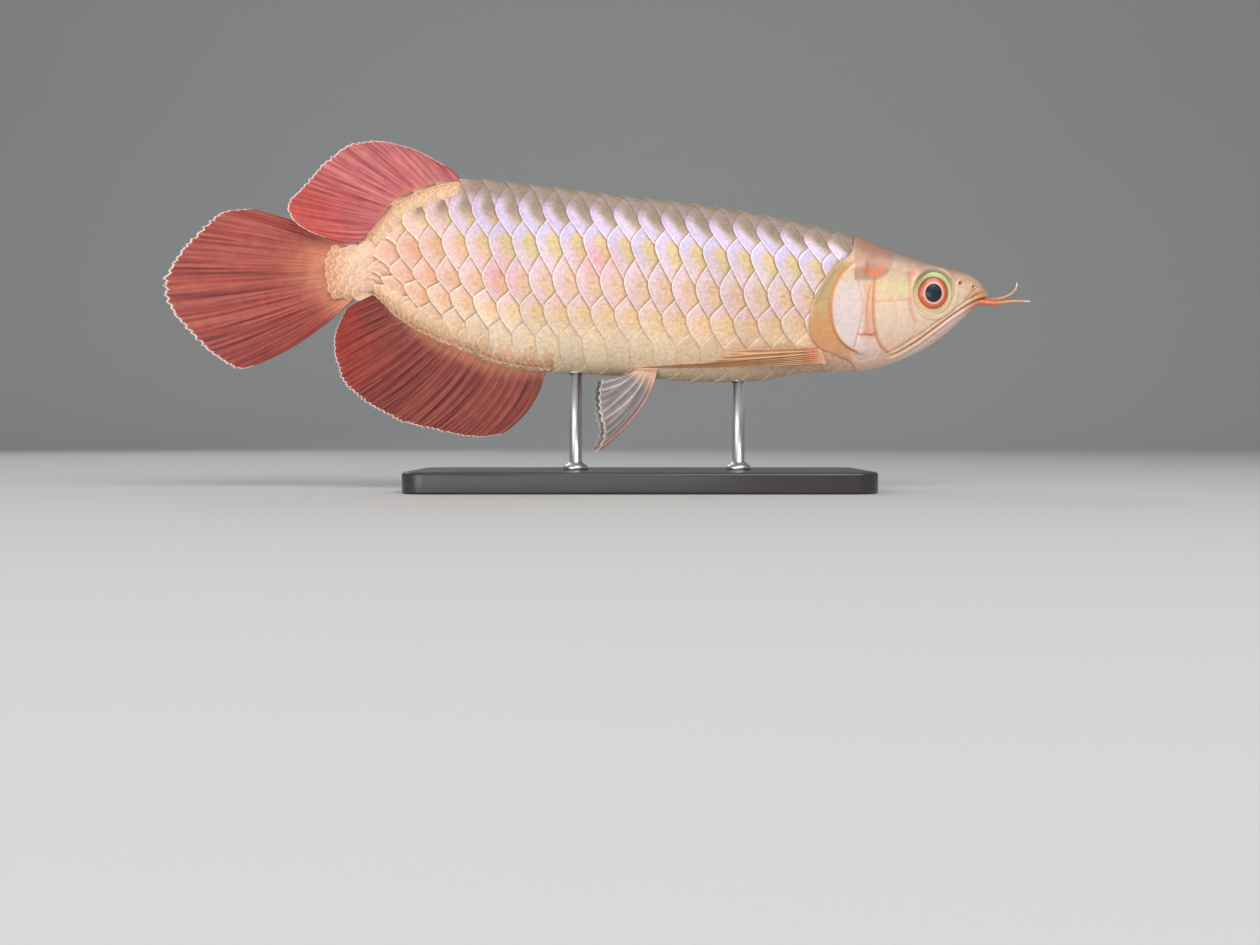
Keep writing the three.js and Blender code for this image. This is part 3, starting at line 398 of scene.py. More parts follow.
def make_piece(name, points, faces, material, uv=None, paints=None):
    """A smooth mesh from points in millimetres. uv and paints have one entry for each point."""
    mesh = bpy.data.meshes.new(name)
    faces = [np.asarray(group, np.int32) for group in faces]
    sizes = np.concatenate([np.full(len(group), group.shape[1], np.int32) for group in faces])
    corners = np.concatenate([group.ravel() for group in faces])
    mesh.vertices.add(len(points))
    mesh.vertices.foreach_set("co", (np.asarray(points) * MM).ravel())
    mesh.loops.add(len(corners))
    mesh.loops.foreach_set("vertex_index", corners)
    mesh.polygons.add(len(sizes))
    mesh.polygons.foreach_set("loop_start", np.concatenate([[0], np.cumsum(sizes)[:-1]]).astype(np.int32))
    mesh.polygons.foreach_set("loop_total", sizes)
    mesh.polygons.foreach_set("use_smooth", np.ones(len(sizes), bool))
    mesh.update(calc_edges=True)
    if uv is not None:
        layer = mesh.uv_layers.new(name="OFBake")
        layer.data.foreach_set("uv", np.asarray(uv, float)[corners].ravel())
    for key, values in (paints or {}).items():
        values = np.asarray(values, float)
        if values.ndim == 2:
            layer = mesh.color_attributes.new(key, "FLOAT_COLOR", "POINT")
            layer.data.foreach_set("color", np.hstack([values, np.ones((len(values), 1))]).ravel())
        else:
            layer = mesh.attributes.new(key, "FLOAT", "POINT")
            layer.data.foreach_set("value", values.ravel())
    mesh.validate()
    piece = bpy.data.objects.new(name, mesh)
    bpy.context.collection.objects.link(piece)
    mesh.materials.append(material)
    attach(piece, "root")
    return piece


def depth_of(points):
    """0 for places on the back and 1 for places on the belly."""
    back, belly = back_at(points[..., 0]), belly_at(points[..., 0])
    return (back - points[..., 2]) / (back - belly)


def ring_faces(rings, sides):
    """Point numbers of closed rings that follow one another, and the four-sided faces between them."""
    index = np.arange(rings * sides).reshape(rings, sides)
    following = np.roll(index, -1, axis=1)
    return index, np.stack([index[:-1], following[:-1], following[1:], index[1:]], -1).reshape(-1, 4)


def fan(ring, centre):
    """Triangles that close a ring to a point in its middle."""
    return np.stack([ring, np.roll(ring, -1), np.full(len(ring), centre)], -1)


row_x = np.concatenate([
    np.arange(SKIN_REAR_X, HEAD_ROWS_X, TRUNK_ROW_MM), np.arange(HEAD_ROWS_X, SNOUT_ROWS_X, HEAD_ROW_MM),
    SNOUT_X - (SNOUT_X - SNOUT_ROWS_X) * np.linspace(1, 0.02, 26) ** 2])
even_angle = np.linspace(0, 2 * math.pi, 2000)
girth_steps = np.linalg.norm(np.diff(skin_point(CHEEK_X, even_angle), axis=0), axis=1)
girth = np.concatenate([[0], np.cumsum(girth_steps)])
column_angle = np.interp(np.linspace(0, girth[-1], SKIN_COLUMNS + 1), girth, even_angle)[:-1]
grid_x, grid_angle = np.meshgrid(row_x, column_angle, indexing="ij")
flat = skin_point(grid_x, grid_angle)
on_side = smooth(0.25, 0.6, np.abs(flat[..., 1]) / np.maximum(half_width_at(grid_x), 0.5))
seen_x, seen_z = as_seen(flat)
relief = head_relief(seen_x, seen_z, on_side) * smooth(HEAD_ROWS_X - 2, HEAD_ROWS_X + 2, grid_x)
relief -= SKIN_SUNK * smooth(0.3, -0.3, ahead_of_gill(seen_x, seen_z))
relief *= smooth(SNOUT_X + 0.2, SNOUT_X - 1.4, grid_x) * 0.8 + 0.2
skin_points = lifted_point(grid_x, grid_angle, relief)
skin_tone = head_colours(seen_x, seen_z, depth_of(flat))

index, quads = ring_faces(*grid_x.shape)
snout, tail = index.size, index.size + 1
skin_faces = [quads[:, [0, 3, 2, 1]], fan(index[-1], snout)[:, ::-1], fan(index[0], tail)]
skin_points = np.vstack([
    skin_points.reshape(-1, 3), [SNOUT_X + 0.1, 0, SNOUT_Z], [SKIN_REAR_X, 0, TAIL_STALK_Z]])
skin_tone = np.vstack([skin_tone.reshape(-1, 3), linear("#C0806A"), linear("#D89F84")])
skin = make_piece("skin", skin_points, skin_faces, head_skin, paints={"tone": skin_tone})
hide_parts("head", "lower_jaw", "gill_cover_right", "gill_cover_left", "torso_front", "torso_rear",
            "tail_stalk")

# The scales: large bony plates in rows, each free edge over the plate behind it
# Each plate is a thin closed shell set on the skin. It is beige in front and pearly pink to lilac behind,
# the lilac partly a painted iridescent sheen, with a pale rim at its free edge and a painted shadow along
# the border that the plates over it cover. The colours turn from grey on the back to cream and peach on the
# belly.

SCALE_PITCH = 11.2
SCALE_LIFT = 0.9
CORNER_LIFT = 0.36
MIDDLE_LIFT_SHARE = 0.42
TUCKED_LIFT = -0.12  # where another scale covers the border
SKIRT = -0.6
ROW_LIFT = [0.4, 0.7, 1, 1, 1, 0.65, 0.3]
ROW_DEPTH_MIDDLE = [0, 0.126, 0.285, 0.491, 0.66, 0.82, 1]
ROW_DEPTH_TAIL = [0, 0.23, 0.42, 0.61, 0.71, 0.84, 1]
ROW_SHIFT = [0, -3.4, -6.3, -9.6, -14, -18, -22.5]
LAST_ROW = len(ROW_SHIFT) - 1
FIRST_TIP_X = -132.6
SCALE_COLUMNS = 24
CORNER_AT = 0.5  # where the row below slips under a lower edge
LOWER_BENDS = np.array([(-0.04, 0.3), (0.4, 0.6)])
UPPER_BENDS = np.array([(0, 0.25), (0.55, 0.62)])
LARGE_SCALES_END = -112.5
ROSE_SPOTS = [(-45, 0.52), (2, 0.4)]  # pink patches, as x and depth
SCALE_SEED = 7
RINGS = [0, 0.03, 0.06, 0.1, 0.15, 0.22, 0.32, 0.45, 0.62, 0.82]


def angle_at_height(height):
    """Angle round the trunk, from the top, of a place at a share of the body's height."""
    above = height >= WIDEST_UP
    reach = np.where(above, (height - WIDEST_UP) / (1 - WIDEST_UP), (WIDEST_UP - height) / WIDEST_UP)
    roundness = np.where(above, ROUND_ABOVE_TRUNK, ROUND_BELOW_TRUNK)
    from_side = np.arccos(np.clip(reach, 0, 1) ** (roundness / 2))
    return np.where(above, from_side, math.pi - from_side)


def scale_tip(column, row):
    """Place of a scale's upper rear corner, as x and the angle round the body."""
    x = FIRST_TIP_X + column * SCALE_PITCH + ROW_SHIFT[row]
    to_tail = float(smooth(0, -110, x))
    depth = ROW_DEPTH_MIDDLE[row] + (ROW_DEPTH_TAIL[row] - ROW_DEPTH_MIDDLE[row]) * to_tail
    return np.array([x, angle_at_height(1 - depth)])


def bent_line(start, end, bends, t):
    """Places on a curve from start to end that two bends pull aside."""
    t = np.asarray(t)[:, None]
    share = 3 * t * (1 - t) ** 2 * bends[0] + 3 * t * t * (1 - t) * bends[1] + t ** 3
    return start + share * (end - start)


def lower_edge(column, row, t):
    return bent_line(scale_tip(column, row), scale_tip(column + 1, row + 1), LOWER_BENDS, t)


def upper_edge(column, row, t):
    return bent_line(scale_tip(column, row), lower_edge(column, row - 1, [CORNER_AT])[0], UPPER_BENDS, t)


def scale_border(column, row):
    """A scale's visible border, from its tip round the front and back: places, lifts, 1 on its free edge."""
    own_up, under_up = np.linspace(0, 1, 11), np.linspace(CORNER_AT, 1, 8)[1:]
    front_low, front_up = np.linspace(0, CORNER_AT, 6)[1:], np.linspace(1, 0, 7)[1:]
    own_low = np.linspace(1, 0, 19)[1:-1]
    lift = SCALE_LIFT * ROW_LIFT[row]
    corner_lift = CORNER_LIFT * ROW_LIFT[row]
    parts = []
    if row > 0:
        own_lift = lift - (lift - corner_lift) * own_up
        parts.append((upper_edge(column, row, own_up), own_lift, np.ones_like(own_up)))
        share = (under_up - CORNER_AT) / (1 - CORNER_AT)
        under_lift = corner_lift * (1 - share) + TUCKED_LIFT
        parts.append((lower_edge(column, row - 1, under_up), under_lift, np.zeros_like(share)))
    else:
        parts.append((scale_tip(column, row)[None], np.array([lift]), np.ones(1)))
        parts.append((scale_tip(column + 1, row)[None], np.array([TUCKED_LIFT]), np.zeros(1)))
    if row < LAST_ROW:
        tucked_low, tucked_up = np.full_like(front_low, TUCKED_LIFT), np.full_like(front_up, TUCKED_LIFT)
        parts.append((lower_edge(column + 1, row, front_low), tucked_low, np.zeros_like(front_low)))
        parts.append((upper_edge(column + 1, row + 1, front_up), tucked_up, np.zeros_like(front_up)))
        parts.append((lower_edge(column, row, own_low), lift * (1 - own_low ** 2), np.ones_like(own_low)))
    return [np.concatenate(group) for group in zip(*parts)]


def whole_border(column, row, side):
    """The border all round. The rows on the back and the belly cross the middle line to the other side."""
    border = scale_border(column, row)
    places, lifts, own = border
    if 0 < row < LAST_ROW:
        return places * [1, side], lifts, own
    mirrored = (places * [1, -1], lifts, own)
    if row == 0:
        tip, front, rest = slice(0, 1), slice(1, 2), slice(2, None)
        return [np.concatenate([a[tip], b[rest][::-1], a[front], a[rest]]) for a, b in zip(border, mirrored)]
    back = [group[1:-1][::-1] for group in mirrored]
    back[0] = back[0] + [0, 2 * math.pi]
    return [np.concatenate([a, b]) for a, b in zip(border, back)]


def scale_colours(x, depth, from_edge, from_cover, shade):
    """from_edge and from_cover are distances to a scale's free edge and to the scales over it, in mm."""
    rose = [bell(from_spot(x, depth, rose_x, rose_depth, 9, 0.09), 1.0) for rose_x, rose_depth in ROSE_SPOTS]
    breast = ("#FFCFB0", smooth(60, 112, x) * smooth(0.7, 0.92, depth) * 0.85)
    front = painted(
        linear("#E8C2A4"),
        ("#D9C484", bell(depth - 0.34, 0.08) * 0.75),
        ("#97836E", smooth(0.29, 0.15, depth)),
        ("#EFC493", smooth(0.48, 0.66, depth)),
        ("#FCE0BC", smooth(0.64, 0.86, depth)),
        ("#E6A17A", smooth(-30, -95, x) * smooth(0.2, 0.45, depth) * 0.85),
        *[("#E9A090", spot * 0.6) for spot in rose], breast)
    rear = painted(
        linear("#EBCED2"),
        # Lilac on the upper flank: the scales' pearly colour with a painted iridescent sheen.
        ("#D3C5EA", bell(depth - 0.25, 0.09) * smooth(-100, -50, x)),
        ("#A08D80", smooth(0.17, 0.08, depth)),
        ("#F0C8C2", smooth(0.46, 0.62, depth) * 0.8),
        ("#FCE2C2", smooth(0.6, 0.8, depth) * 0.95),
        ("#F0B69A", smooth(-45, -100, x) * 0.8),
        *[("#F0A0B0", spot * 0.7) for spot in rose], breast)
    cream = smooth(0.6, 0.78, depth) * smooth(-60, 0, x)
    colours = front + (rear - front) * (smooth(7.0, 2.0, from_edge) * (1 - 0.5 * cream))[..., None]
    # Painted iridescent sheen: violet near the free edges of the upper rows.
    painted_violet_sheen = bell(depth - 0.17, 0.06) * smooth(3.6, 0.8, from_edge)
    painted_violet_sheen = painted_violet_sheen * smooth(-90, -50, x) * smooth(115, 80, x)
    shadow = smooth(1.5, 0.1, from_cover) * (1 - 0.8 * cream)
    rim = smooth(0.95, 0.45, from_edge) * (1 - 0.7 * cream)
    dash = bell(depth - 0.515, 0.006) * smooth(5.6, 6.2, from_edge) * smooth(8.8, 7.8, from_edge)
    colours = painted(
        colours,
        ("#BDA4DA", painted_violet_sheen * 0.75),
        ("#9A6F52", shadow * (0.45 + 0.25 * smooth(0.12, 0.3, depth))),
        ("#FBEBDD", rim * smooth(0.1, 0.24, depth) * 0.9),
        ("#F6D3A6", rim * smooth(-40, -90, x) * 0.6),
        ("#8A7767", smooth(0.6, 0.2, from_edge) * smooth(0.16, 0.09, depth) * 0.7),
        ("#B0604F", dash * smooth(-112, -90, x) * 0.4))
    return colours * (1 + 0.04 * shade[..., None])


def edge_distances(places, border, own):
    """Distance of each place to the free edge and to the covered part of the border, in millimetres."""
    x, angle, step = border[0, 0], border[0, 1], 0.05
    girth_per_radian = np.linalg.norm(skin_point(x, angle + step) - skin_point(x, angle - step)) / (2 * step)
    to_mm = np.array([1, girth_per_radian])
    away = np.linalg.norm((places * to_mm)[:, None] - (border * to_mm)[None], axis=-1)
    return np.stack([away[:, own > 0].min(1), away[:, own == 0].min(1)], -1)


def plate_faces(first, sides, rings):
    """Triangles of a closed plate: rings from its border inwards, a top point, a skirt and a foot point."""
    ring = np.arange(sides)
    following = (ring + 1) % sides
    top = first + rings * sides
    skirt = top + 1
    faces = []
    for a in range(first, top - sides, sides):
        b = a + sides
        faces.append(np.stack([a + ring, a + following, b + following], -1))
        faces.append(np.stack([a + ring, b + following, b + ring], -1))
    faces.append(fan(top - sides + ring, top))
    faces.append(np.stack([skirt + ring, skirt + following, first + following], -1))
    faces.append(np.stack([skirt + ring, first + following, first + ring], -1))
    faces.append(np.stack([skirt + following, skirt + ring, np.full(sides, skirt + sides)], -1))
    return np.concatenate(faces)


def build_scales(name, columns):
    """Some columns of plates as one piece, less what the gill cover and the small scales hide."""
    rng = np.random.default_rng(SCALE_SEED)
    places, lifts, edges, shades, faces = [], [], [], [], []
    count = 0
    one_side = (1,)
    both_sides = (-1, 1)
    plates = [(column, row, side) for column in columns for row in range(LAST_ROW + 1)
              for side in (one_side if row in (0, LAST_ROW) else both_sides)]
    for column, row, side in plates:
        border, lift, own = whole_border(column, row, side)
        centre = border.mean(0)
        middle_lift = MIDDLE_LIFT_SHARE * SCALE_LIFT * ROW_LIFT[row]
        plate = [border + (centre - border) * share for share in RINGS]
        plate = np.concatenate(plate + [centre[None], border, centre[None]])
        levels = [lift + (middle_lift - lift) * float(smooth(0, 1.15, share)) for share in RINGS]
        levels[0] = levels[0] - 0.1 * own
        places.append(plate)
        lifts.append(np.concatenate(levels + [[middle_lift], np.full(len(border), SKIRT), [SKIRT]]))
        edges.append(edge_distances(plate, border, own))
        shades.append(np.full(len(plate), rng.normal()))
        triangles = plate_faces(count, len(border), len(RINGS))
        faces.append(triangles if side > 0 else triangles[:, ::-1])
        count += len(plate)
    x, angle = np.concatenate(places).T
    edge, faces = np.concatenate(edges), np.concatenate(faces)
    on_skin = skin_point(x, angle)
    gill = ahead_of_gill(*as_seen(on_skin))
    points = lifted_point(x, angle, np.concatenate(lifts) - 2.2 * smooth(-0.3, 0.6, gill))
    colours = scale_colours(x, depth_of(on_skin), edge[:, 0], edge[:, 1], np.concatenate(shades))
    hidden = (gill > 1.5) | (x < LARGE_SCALES_END)
    faces = faces[~hidden[faces].all(1)]
    turn = np.where(angle > math.pi, angle - 2 * math.pi, angle)
    uv = np.stack([(x - x.min()) / (x.max() - x.min()), 0.5 + turn / (2.2 * math.pi)], -1)
    used = np.unique(faces)
    renumber = np.full(len(points), -1)
    renumber[used] = np.arange(len(used))
    coat = make_piece(name, points[used], [renumber[faces]], scale_finish, uv=uv[used],
                      paints={"tone": colours[used]})


# Pearly scale: a thin bony plate over silvery skin, so the base is a little metallic and mottled, with fine
# ridges along the fish and a clear wet film over it all.
SPECKLE_MM, RIDGE_MM, RIDGE_STRETCH = 1.6, 0.9, 0.25


def pearl_scale():
    material, tree = new_material("pearl_scale")
    place = add_node(tree, "ShaderNodeTexCoord")
    colour = mottled_tone(tree, place, SPECKLE_MM, 0.78, 1.1, spread=0.16, roughness=0.7)
    stretched = add_node(tree, "ShaderNodeMapping", {
        "Vector": place.outputs["Object"], "Scale": (RIDGE_STRETCH, 1, 1)})
    ridges = add_node(tree, "ShaderNodeTexNoise", {
        "Vector": stretched.outputs[0], "Scale": 1 / (RIDGE_MM * MM), "Detail": 3.0, "Roughness": 0.6})
    bump = add_node(tree, "ShaderNodeBump", {
        "Height": ridges.outputs["Fac"], "Strength": 0.35, "Distance": 0.0003})
    shader = add_node(tree, "ShaderNodeBsdfPrincipled", {
        "Base Color": colour.outputs[2], "Roughness": 0.46, "IOR": 1.4, "Metallic": 0.08,
        "Coat Weight": 0.14, "Coat Roughness": 0.2, "Normal": bump.outputs[0]})
    finish_material(tree, shader)
    return material


COLUMNS_TOGETHER = 9
scale_finish = pearl_scale()
for part, first in (("rear", 0), ("middle", COLUMNS_TOGETHER), ("front", 2 * COLUMNS_TOGETHER)):
    build_scales(f"scales_{part}", range(first, min(first + COLUMNS_TOGETHER, SCALE_COLUMNS + 2)))

# The small scales: little plates that cover the roots of the unpaired fins
# Each is a low rounded dome, laid with its free edge to the rear, in rows along a fin's root. They take over
# from the large scales and get smaller towards the fin.

SMALL_RING = 14
SMALL_SHARES = np.array([1.0, 0.93, 0.8, 0.5])
SMALL_UNEVEN, SMALL_SHADE_UNEVEN = 0.12, 0.06
SMALL_SEED = 11
SMALL_MIDDLE_RISE, SMALL_TIP_RISE, SMALL_CENTRE_RISE, SMALL_SKIRT = 0.3, 0.62, 0.42, 1.4
FIN_ROOT_HALF = 1.3
FACE_SHARE = 0.49  # each side of a piece has its own half of the texture square


def half_thickness(x, z):
    """Distance of the skin from the middle plane, running out to the thickness of the tail fin's root."""
    inside = np.maximum(x, SKIN_REAR_X)
    top, bottom = back_at(inside), belly_at(inside)
    height = np.clip((z - bottom) / (top - bottom), 0.02, 0.98)
    half = np.abs(skin_point(inside, angle_at_height(height))[..., 1])
    return FIN_ROOT_HALF + (half - FIN_ROOT_HALF) * smooth(-137, SKIN_REAR_X - 1, x)


def sheath_row(line, inward, spacing, inset, lean):
    """Places along a fin's root, moved into the body by the inset, and how free edges lean there."""
    line = np.array(line, float)
    run = np.concatenate([[0], np.cumsum(np.linalg.norm(np.diff(line, axis=0), axis=1))])
    at = np.arange(spacing / 2, run[-1], spacing)
    place = np.stack([np.interp(at, run, line[:, k]) for k in (0, 1)], -1)
    rearward = np.stack([np.gradient(place[:, k]) for k in (0, 1)], -1)
    rearward /= np.linalg.norm(rearward, axis=1, keepdims=True)
    into_body = np.stack([-rearward[:, 1], rearward[:, 0]], -1) * inward
    return place + into_body * inset, rearward * lean[0] - into_body * lean[1]


def small_scales(name, rows):
    """rows holds (places, directions of the free edge, length and width in mm, colour)."""
    rng = np.random.default_rng(SMALL_SEED)
    turn = np.linspace(0, 2 * math.pi, SMALL_RING + 1)[:-1]
    share = SMALL_SHARES[:, None]
    free = np.append(np.minimum(1, 2 * np.clip(np.cos(turn), 0, 1)[None] * (share > 0.9)).ravel(), 0)
    # Painted shade on the front of each plate, where the next plate towards the head lies over it.
    covered_shade = np.append((np.clip(-np.cos(turn), 0, 1)[None] * share ** 2).ravel(), 0)
    points, tones, faces = [], [], []
    count = 0
    plates = [(side, place, tip, *looks) for side in (-1, 1) for places, tips, *looks in rows
              for place, tip in zip(places, tips)]
    for side, place, tip, length, width, base_hex in plates:
        size = 1 + SMALL_UNEVEN * rng.normal()
        ahead = np.cos(turn)[None] * share * length / 2 * size
        aside = np.sin(turn)[None] * share * width / 2 * size * (1 + 0.12 * np.cos(turn)[None])
        flat_place = place + ahead[..., None] * tip + aside[..., None] * np.array([-tip[1], tip[0]])
        rise = SMALL_MIDDLE_RISE + SMALL_TIP_RISE * (ahead / (length / 2))
        rise += 0.12 * (1 - share ** 2) - 0.12 * (share > 0.97)
        flat_x, flat_z = np.vstack([flat_place.reshape(-1, 2), place]).T
        out = half_thickness(flat_x, flat_z) + np.append(rise.ravel(), SMALL_CENTRE_RISE)
        plate = np.stack([flat_x, side * out, flat_z], -1)
        under = plate[:SMALL_RING] - np.array([0, side * SMALL_SKIRT, 0])
        points.append(np.vstack([plate, under, under.mean(0)[None]]))
        # A pale free edge, and painted shade on the hidden front.
        tone = painted(linear(base_hex) * (1 + SMALL_SHADE_UNEVEN * rng.normal()),
                       ("#FCE3C6", free * 0.75), ("#B37F5C", covered_shade * 0.5))
        tones.append(np.vstack([tone, tone[:SMALL_RING + 1]]))
        triangles = plate_faces(count, SMALL_RING, len(SMALL_SHARES))
        faces.append(triangles if side < 0 else triangles[:, ::-1])
        count += len(points[-1])
    points = np.vstack(points)
    low, span = points.min(0), np.ptp(points, axis=0)
    u, _, v = ((points - low) / span).T
    uv = np.stack([u, FACE_SHARE * v + np.where(points[:, 1] > 0, 0.5, 0)], -1)
    piece = make_piece(name, points, [np.concatenate(faces)], scale_finish, uv=uv,
                       paints={"tone": np.vstack(tones)})


# Each row along a root has its inset, the spacing, length and width of its scales, and their colour.
ANAL_SHEATH = [(-20, 59.6), (-45.5, 63.2), (-57.7, 68), (-74, 74), (-85.3, 79.8), (-95.4, 86.6),
               (-104, 94.6)]
ANAL_SHEATH_ROWS = [(0.4, 2.9, 5.2, 3.9, "#DD9E76"), (2.6, 3.5, 6.4, 4.6, "#E8B48C"),
                    (5.4, 4.6, 8.0, 6.0, "#F0C6A0")]
DORSAL_SHEATH = [(-64, 147), (-73, 145.4), (-85, 141.6), (-94, 136.6), (-100, 130), (-107, 121.4)]
DORSAL_SHEATH_ROWS = [(0.4, 2.3, 4.6, 3.2, "#D9A07A"), (2.4, 2.7, 5.4, 3.7, "#E0AE86"),
                      (4.6, 3.4, 6.4, 4.6, "#E2B792")]
for name, line, inward, lean, rows in (
        ("anal", ANAL_SHEATH, -1, (0.72, 0.69), ANAL_SHEATH_ROWS),
        ("dorsal", DORSAL_SHEATH, 1, (0.86, 0.5), DORSAL_SHEATH_ROWS)):
    small_scales(f"scales_{name}_root", [
        (*sheath_row(line, inward, spacing, inset, lean), length, width, base_hex)
        for inset, spacing, length, width, base_hex in rows])

# Each column on the tail has its place, its lowest and highest scale, their spacing and their colour.
TAIL_MIDDLE_Z = 105.5
TAIL_COLUMNS = [
    (-126.4, 94.5, 116.6, 3.1, "#DA9672"), (-123.6, 93.8, 116.5, 3.6, "#DE9F7A"),
    (-120.4, 94.2, 116.4, 4.0, "#E4AC88"), (-117, 94.8, 116.8, 4.5, "#E9B896"),
    (-113.4, 95.4, 117.6, 5.0, "#EDC0A0"), (-109.6, 96.6, 118.8, 5.4, "#F0C6A8")]
tail_rows = []
for column, (x, low_z, high_z, spacing, base_hex) in enumerate(TAIL_COLUMNS):
    z = np.arange(low_z + spacing * (0.5 if column % 2 else 0.05), high_z, spacing)
    bow = 3.2 * ((z - TAIL_MIDDLE_Z) / 12) ** 2
    tips = np.stack([-np.ones(len(z)), (z - TAIL_MIDDLE_Z) / 30], -1)
    tips /= np.linalg.norm(tips, axis=1, keepdims=True)
    tail_rows.append((np.stack([x + bow, z], -1), tips, spacing * 1.9, spacing * 1.35, base_hex))
small_scales("scales_tail_root", tail_rows)

# The fins: bony rays that fork towards the margin, with thin membrane between them
# A fin is one closed sheet with the rays raised on both faces, and a thin pale margin a little ragged
# between the rays. The root is sunk in the skin.

RIM_STARTS, RIM_STEPS = 0.9, 14
ROOT_SWELL_MM = 2.4


def spline(points, count=400):
    """A centripetal curve through the points, as count places at even steps along it."""
    points = np.array(points, float)
    points = np.vstack([2 * points[0] - points[1], points, 2 * points[-1] - points[-2]])
    pieces = []
    for p0, p1, p2, p3 in zip(points, points[1:], points[2:], points[3:]):
        t0 = 0.0
        t1 = t0 + np.linalg.norm(p1 - p0) ** 0.5
        t2 = t1 + np.linalg.norm(p2 - p1) ** 0.5
        t3 = t2 + np.linalg.norm(p3 - p2) ** 0.5
        t = np.linspace(t1, t2, 60)[:, None]
        a1 = (t1 - t) / (t1 - t0) * p0 + (t - t0) / (t1 - t0) * p1
        a2 = (t2 - t) / (t2 - t1) * p1 + (t - t1) / (t2 - t1) * p2
        a3 = (t3 - t) / (t3 - t2) * p2 + (t - t2) / (t3 - t2) * p3
        b1 = (t2 - t) / (t2 - t0) * a1 + (t - t0) / (t2 - t0) * a2
        b2 = (t3 - t) / (t3 - t1) * a2 + (t - t1) / (t3 - t1) * a3
        pieces.append((t2 - t) / (t2 - t1) * b1 + (t - t1) / (t2 - t1) * b2)
    curve = np.vstack(pieces)
    lengths = np.concatenate([[0], np.cumsum(np.linalg.norm(np.diff(curve, axis=0), axis=1))])
    even = np.linspace(0, lengths[-1], count)
    return np.stack([np.interp(even, lengths, curve[:, k]) for k in range(3)], -1)


def along_line(line, share):
    """Places on a line of points at shares of its length."""
    place = np.clip(share, 0, 1) * (len(line) - 1)
    return np.stack([np.interp(place, np.arange(len(line)), line[:, k]) for k in range(3)], -1)


def ray_height(phase, along, fork_at):
    """1 on a ray and 0 between rays. Each ray forks in two from fork_at outwards."""
    off = phase - np.round(phase)
    spread = 0.25 * smooth(fork_at, 1.0, along)
    width = 0.2 - 0.1 * smooth(fork_at, 1.0, along)
    return np.maximum(bell(off - spread, width), bell(off + spread, width))


def build_fin(name, node, root, margin, rays, bow, curl, colours, material, seed, per_ray=12,
              steps=90, ray_mm=(1.8, 0.6), membrane_mm=(1.1, 0.28), fork_at=0.35, ragged=0.011, flesh=0.05):
    """A sheet from its root to its margin. bow bends it in its own plane, and curl carries it out of it."""
    root_line, margin_line = spline(root), spline(margin)
    across = np.linspace(0, 1, per_ray * (rays - 1) + 1)
    along = np.concatenate([np.linspace(0, RIM_STARTS, steps)[:-1], np.linspace(RIM_STARTS, 1, RIM_STEPS)])
    across, along = np.meshgrid(across, along, indexing="ij")
    phase = across * (rays - 1)
    ray = ray_height(phase, along, fork_at)
    rng = np.random.default_rng(seed)
    reach = np.interp(phase[:, 0], np.arange(rays), rng.uniform(-1, 1, rays))
    tip_ray = ray_height(phase[:, 0], np.ones(len(phase)), fork_at)
    length = 1 + ragged * (0.8 * reach + 1.2 * (tip_ray - 0.7) + 0.5 * rng.normal(size=len(phase)))
    reached = along * length[:, None]

    def middle(a, s):
        start, end = along_line(root_line, a), along_line(margin_line, a)
        point = start + (end - start) * s[..., None]
        bow_x, bow_z = bow(a)
        bend = 4 * s * (1 - s)
        return point + np.stack([bow_x * bend, curl(a, s), bow_z * bend], -1)

    step = 0.004
    before, after = np.clip(across - step, 0, 1), np.clip(across + step, 0, 1)
    normal = np.cross(middle(after, reached) - middle(before, reached),
                      middle(across, reached + step) - middle(across, reached - step))
    normal /= np.linalg.norm(normal, axis=-1, keepdims=True)
    ray_thick = ray_mm[0] + (ray_mm[1] - ray_mm[0]) * along
    membrane = membrane_mm[0] + (membrane_mm[1] - membrane_mm[0]) * smooth(0, 0.6, along)
    ray = ray * smooth(flesh - 0.08, flesh + 0.12, along)
    thick = (membrane + (ray_thick - membrane) * ray) * (1 - 0.55 * smooth(0.93, 1, along))
    thick += ROOT_SWELL_MM * smooth(flesh, 0, along)
    place, half = middle(across, reached), normal * (thick / 2)[..., None]
    index = np.arange(across.size).reshape(across.shape)
    front = np.stack([index[:-1, :-1], index[1:, :-1], index[1:, 1:], index[:-1, 1:]], -1).reshape(-1, 4)
    rim = np.concatenate([index[:-1, 0], index[-1, :-1], index[:0:-1, -1], index[0, :0:-1]])
    following = np.roll(rim, -1)
    sides = np.stack([rim, rim + index.size, following + index.size, following], -1)
    faces = np.concatenate([front, front[:, ::-1] + index.size, sides])
    tone = colours(across, along, ray, phase).reshape(-1, 3)
    uv = np.stack([across, along * FACE_SHARE], -1).reshape(-1, 2)
    points = np.vstack([(place + half).reshape(-1, 3), (place - half).reshape(-1, 3)])
    fin = make_piece(name, points, [faces], material, uv=np.vstack([uv, uv + [0, 0.5]]), paints={
        "tone": np.vstack([tone, tone]), "along": np.tile(along.ravel(), 2), "ray": np.tile(ray.ravel(), 2)})
    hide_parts(node)


# Fin membrane: soft and wet, with fine cross joints in the rays. Light passes into it a little.
CLOUD_MM, FIN_GRAIN_MM = 6, 0.5
JOINTS_IN_RAY, JOINT_HEIGHT = 70, 0.35


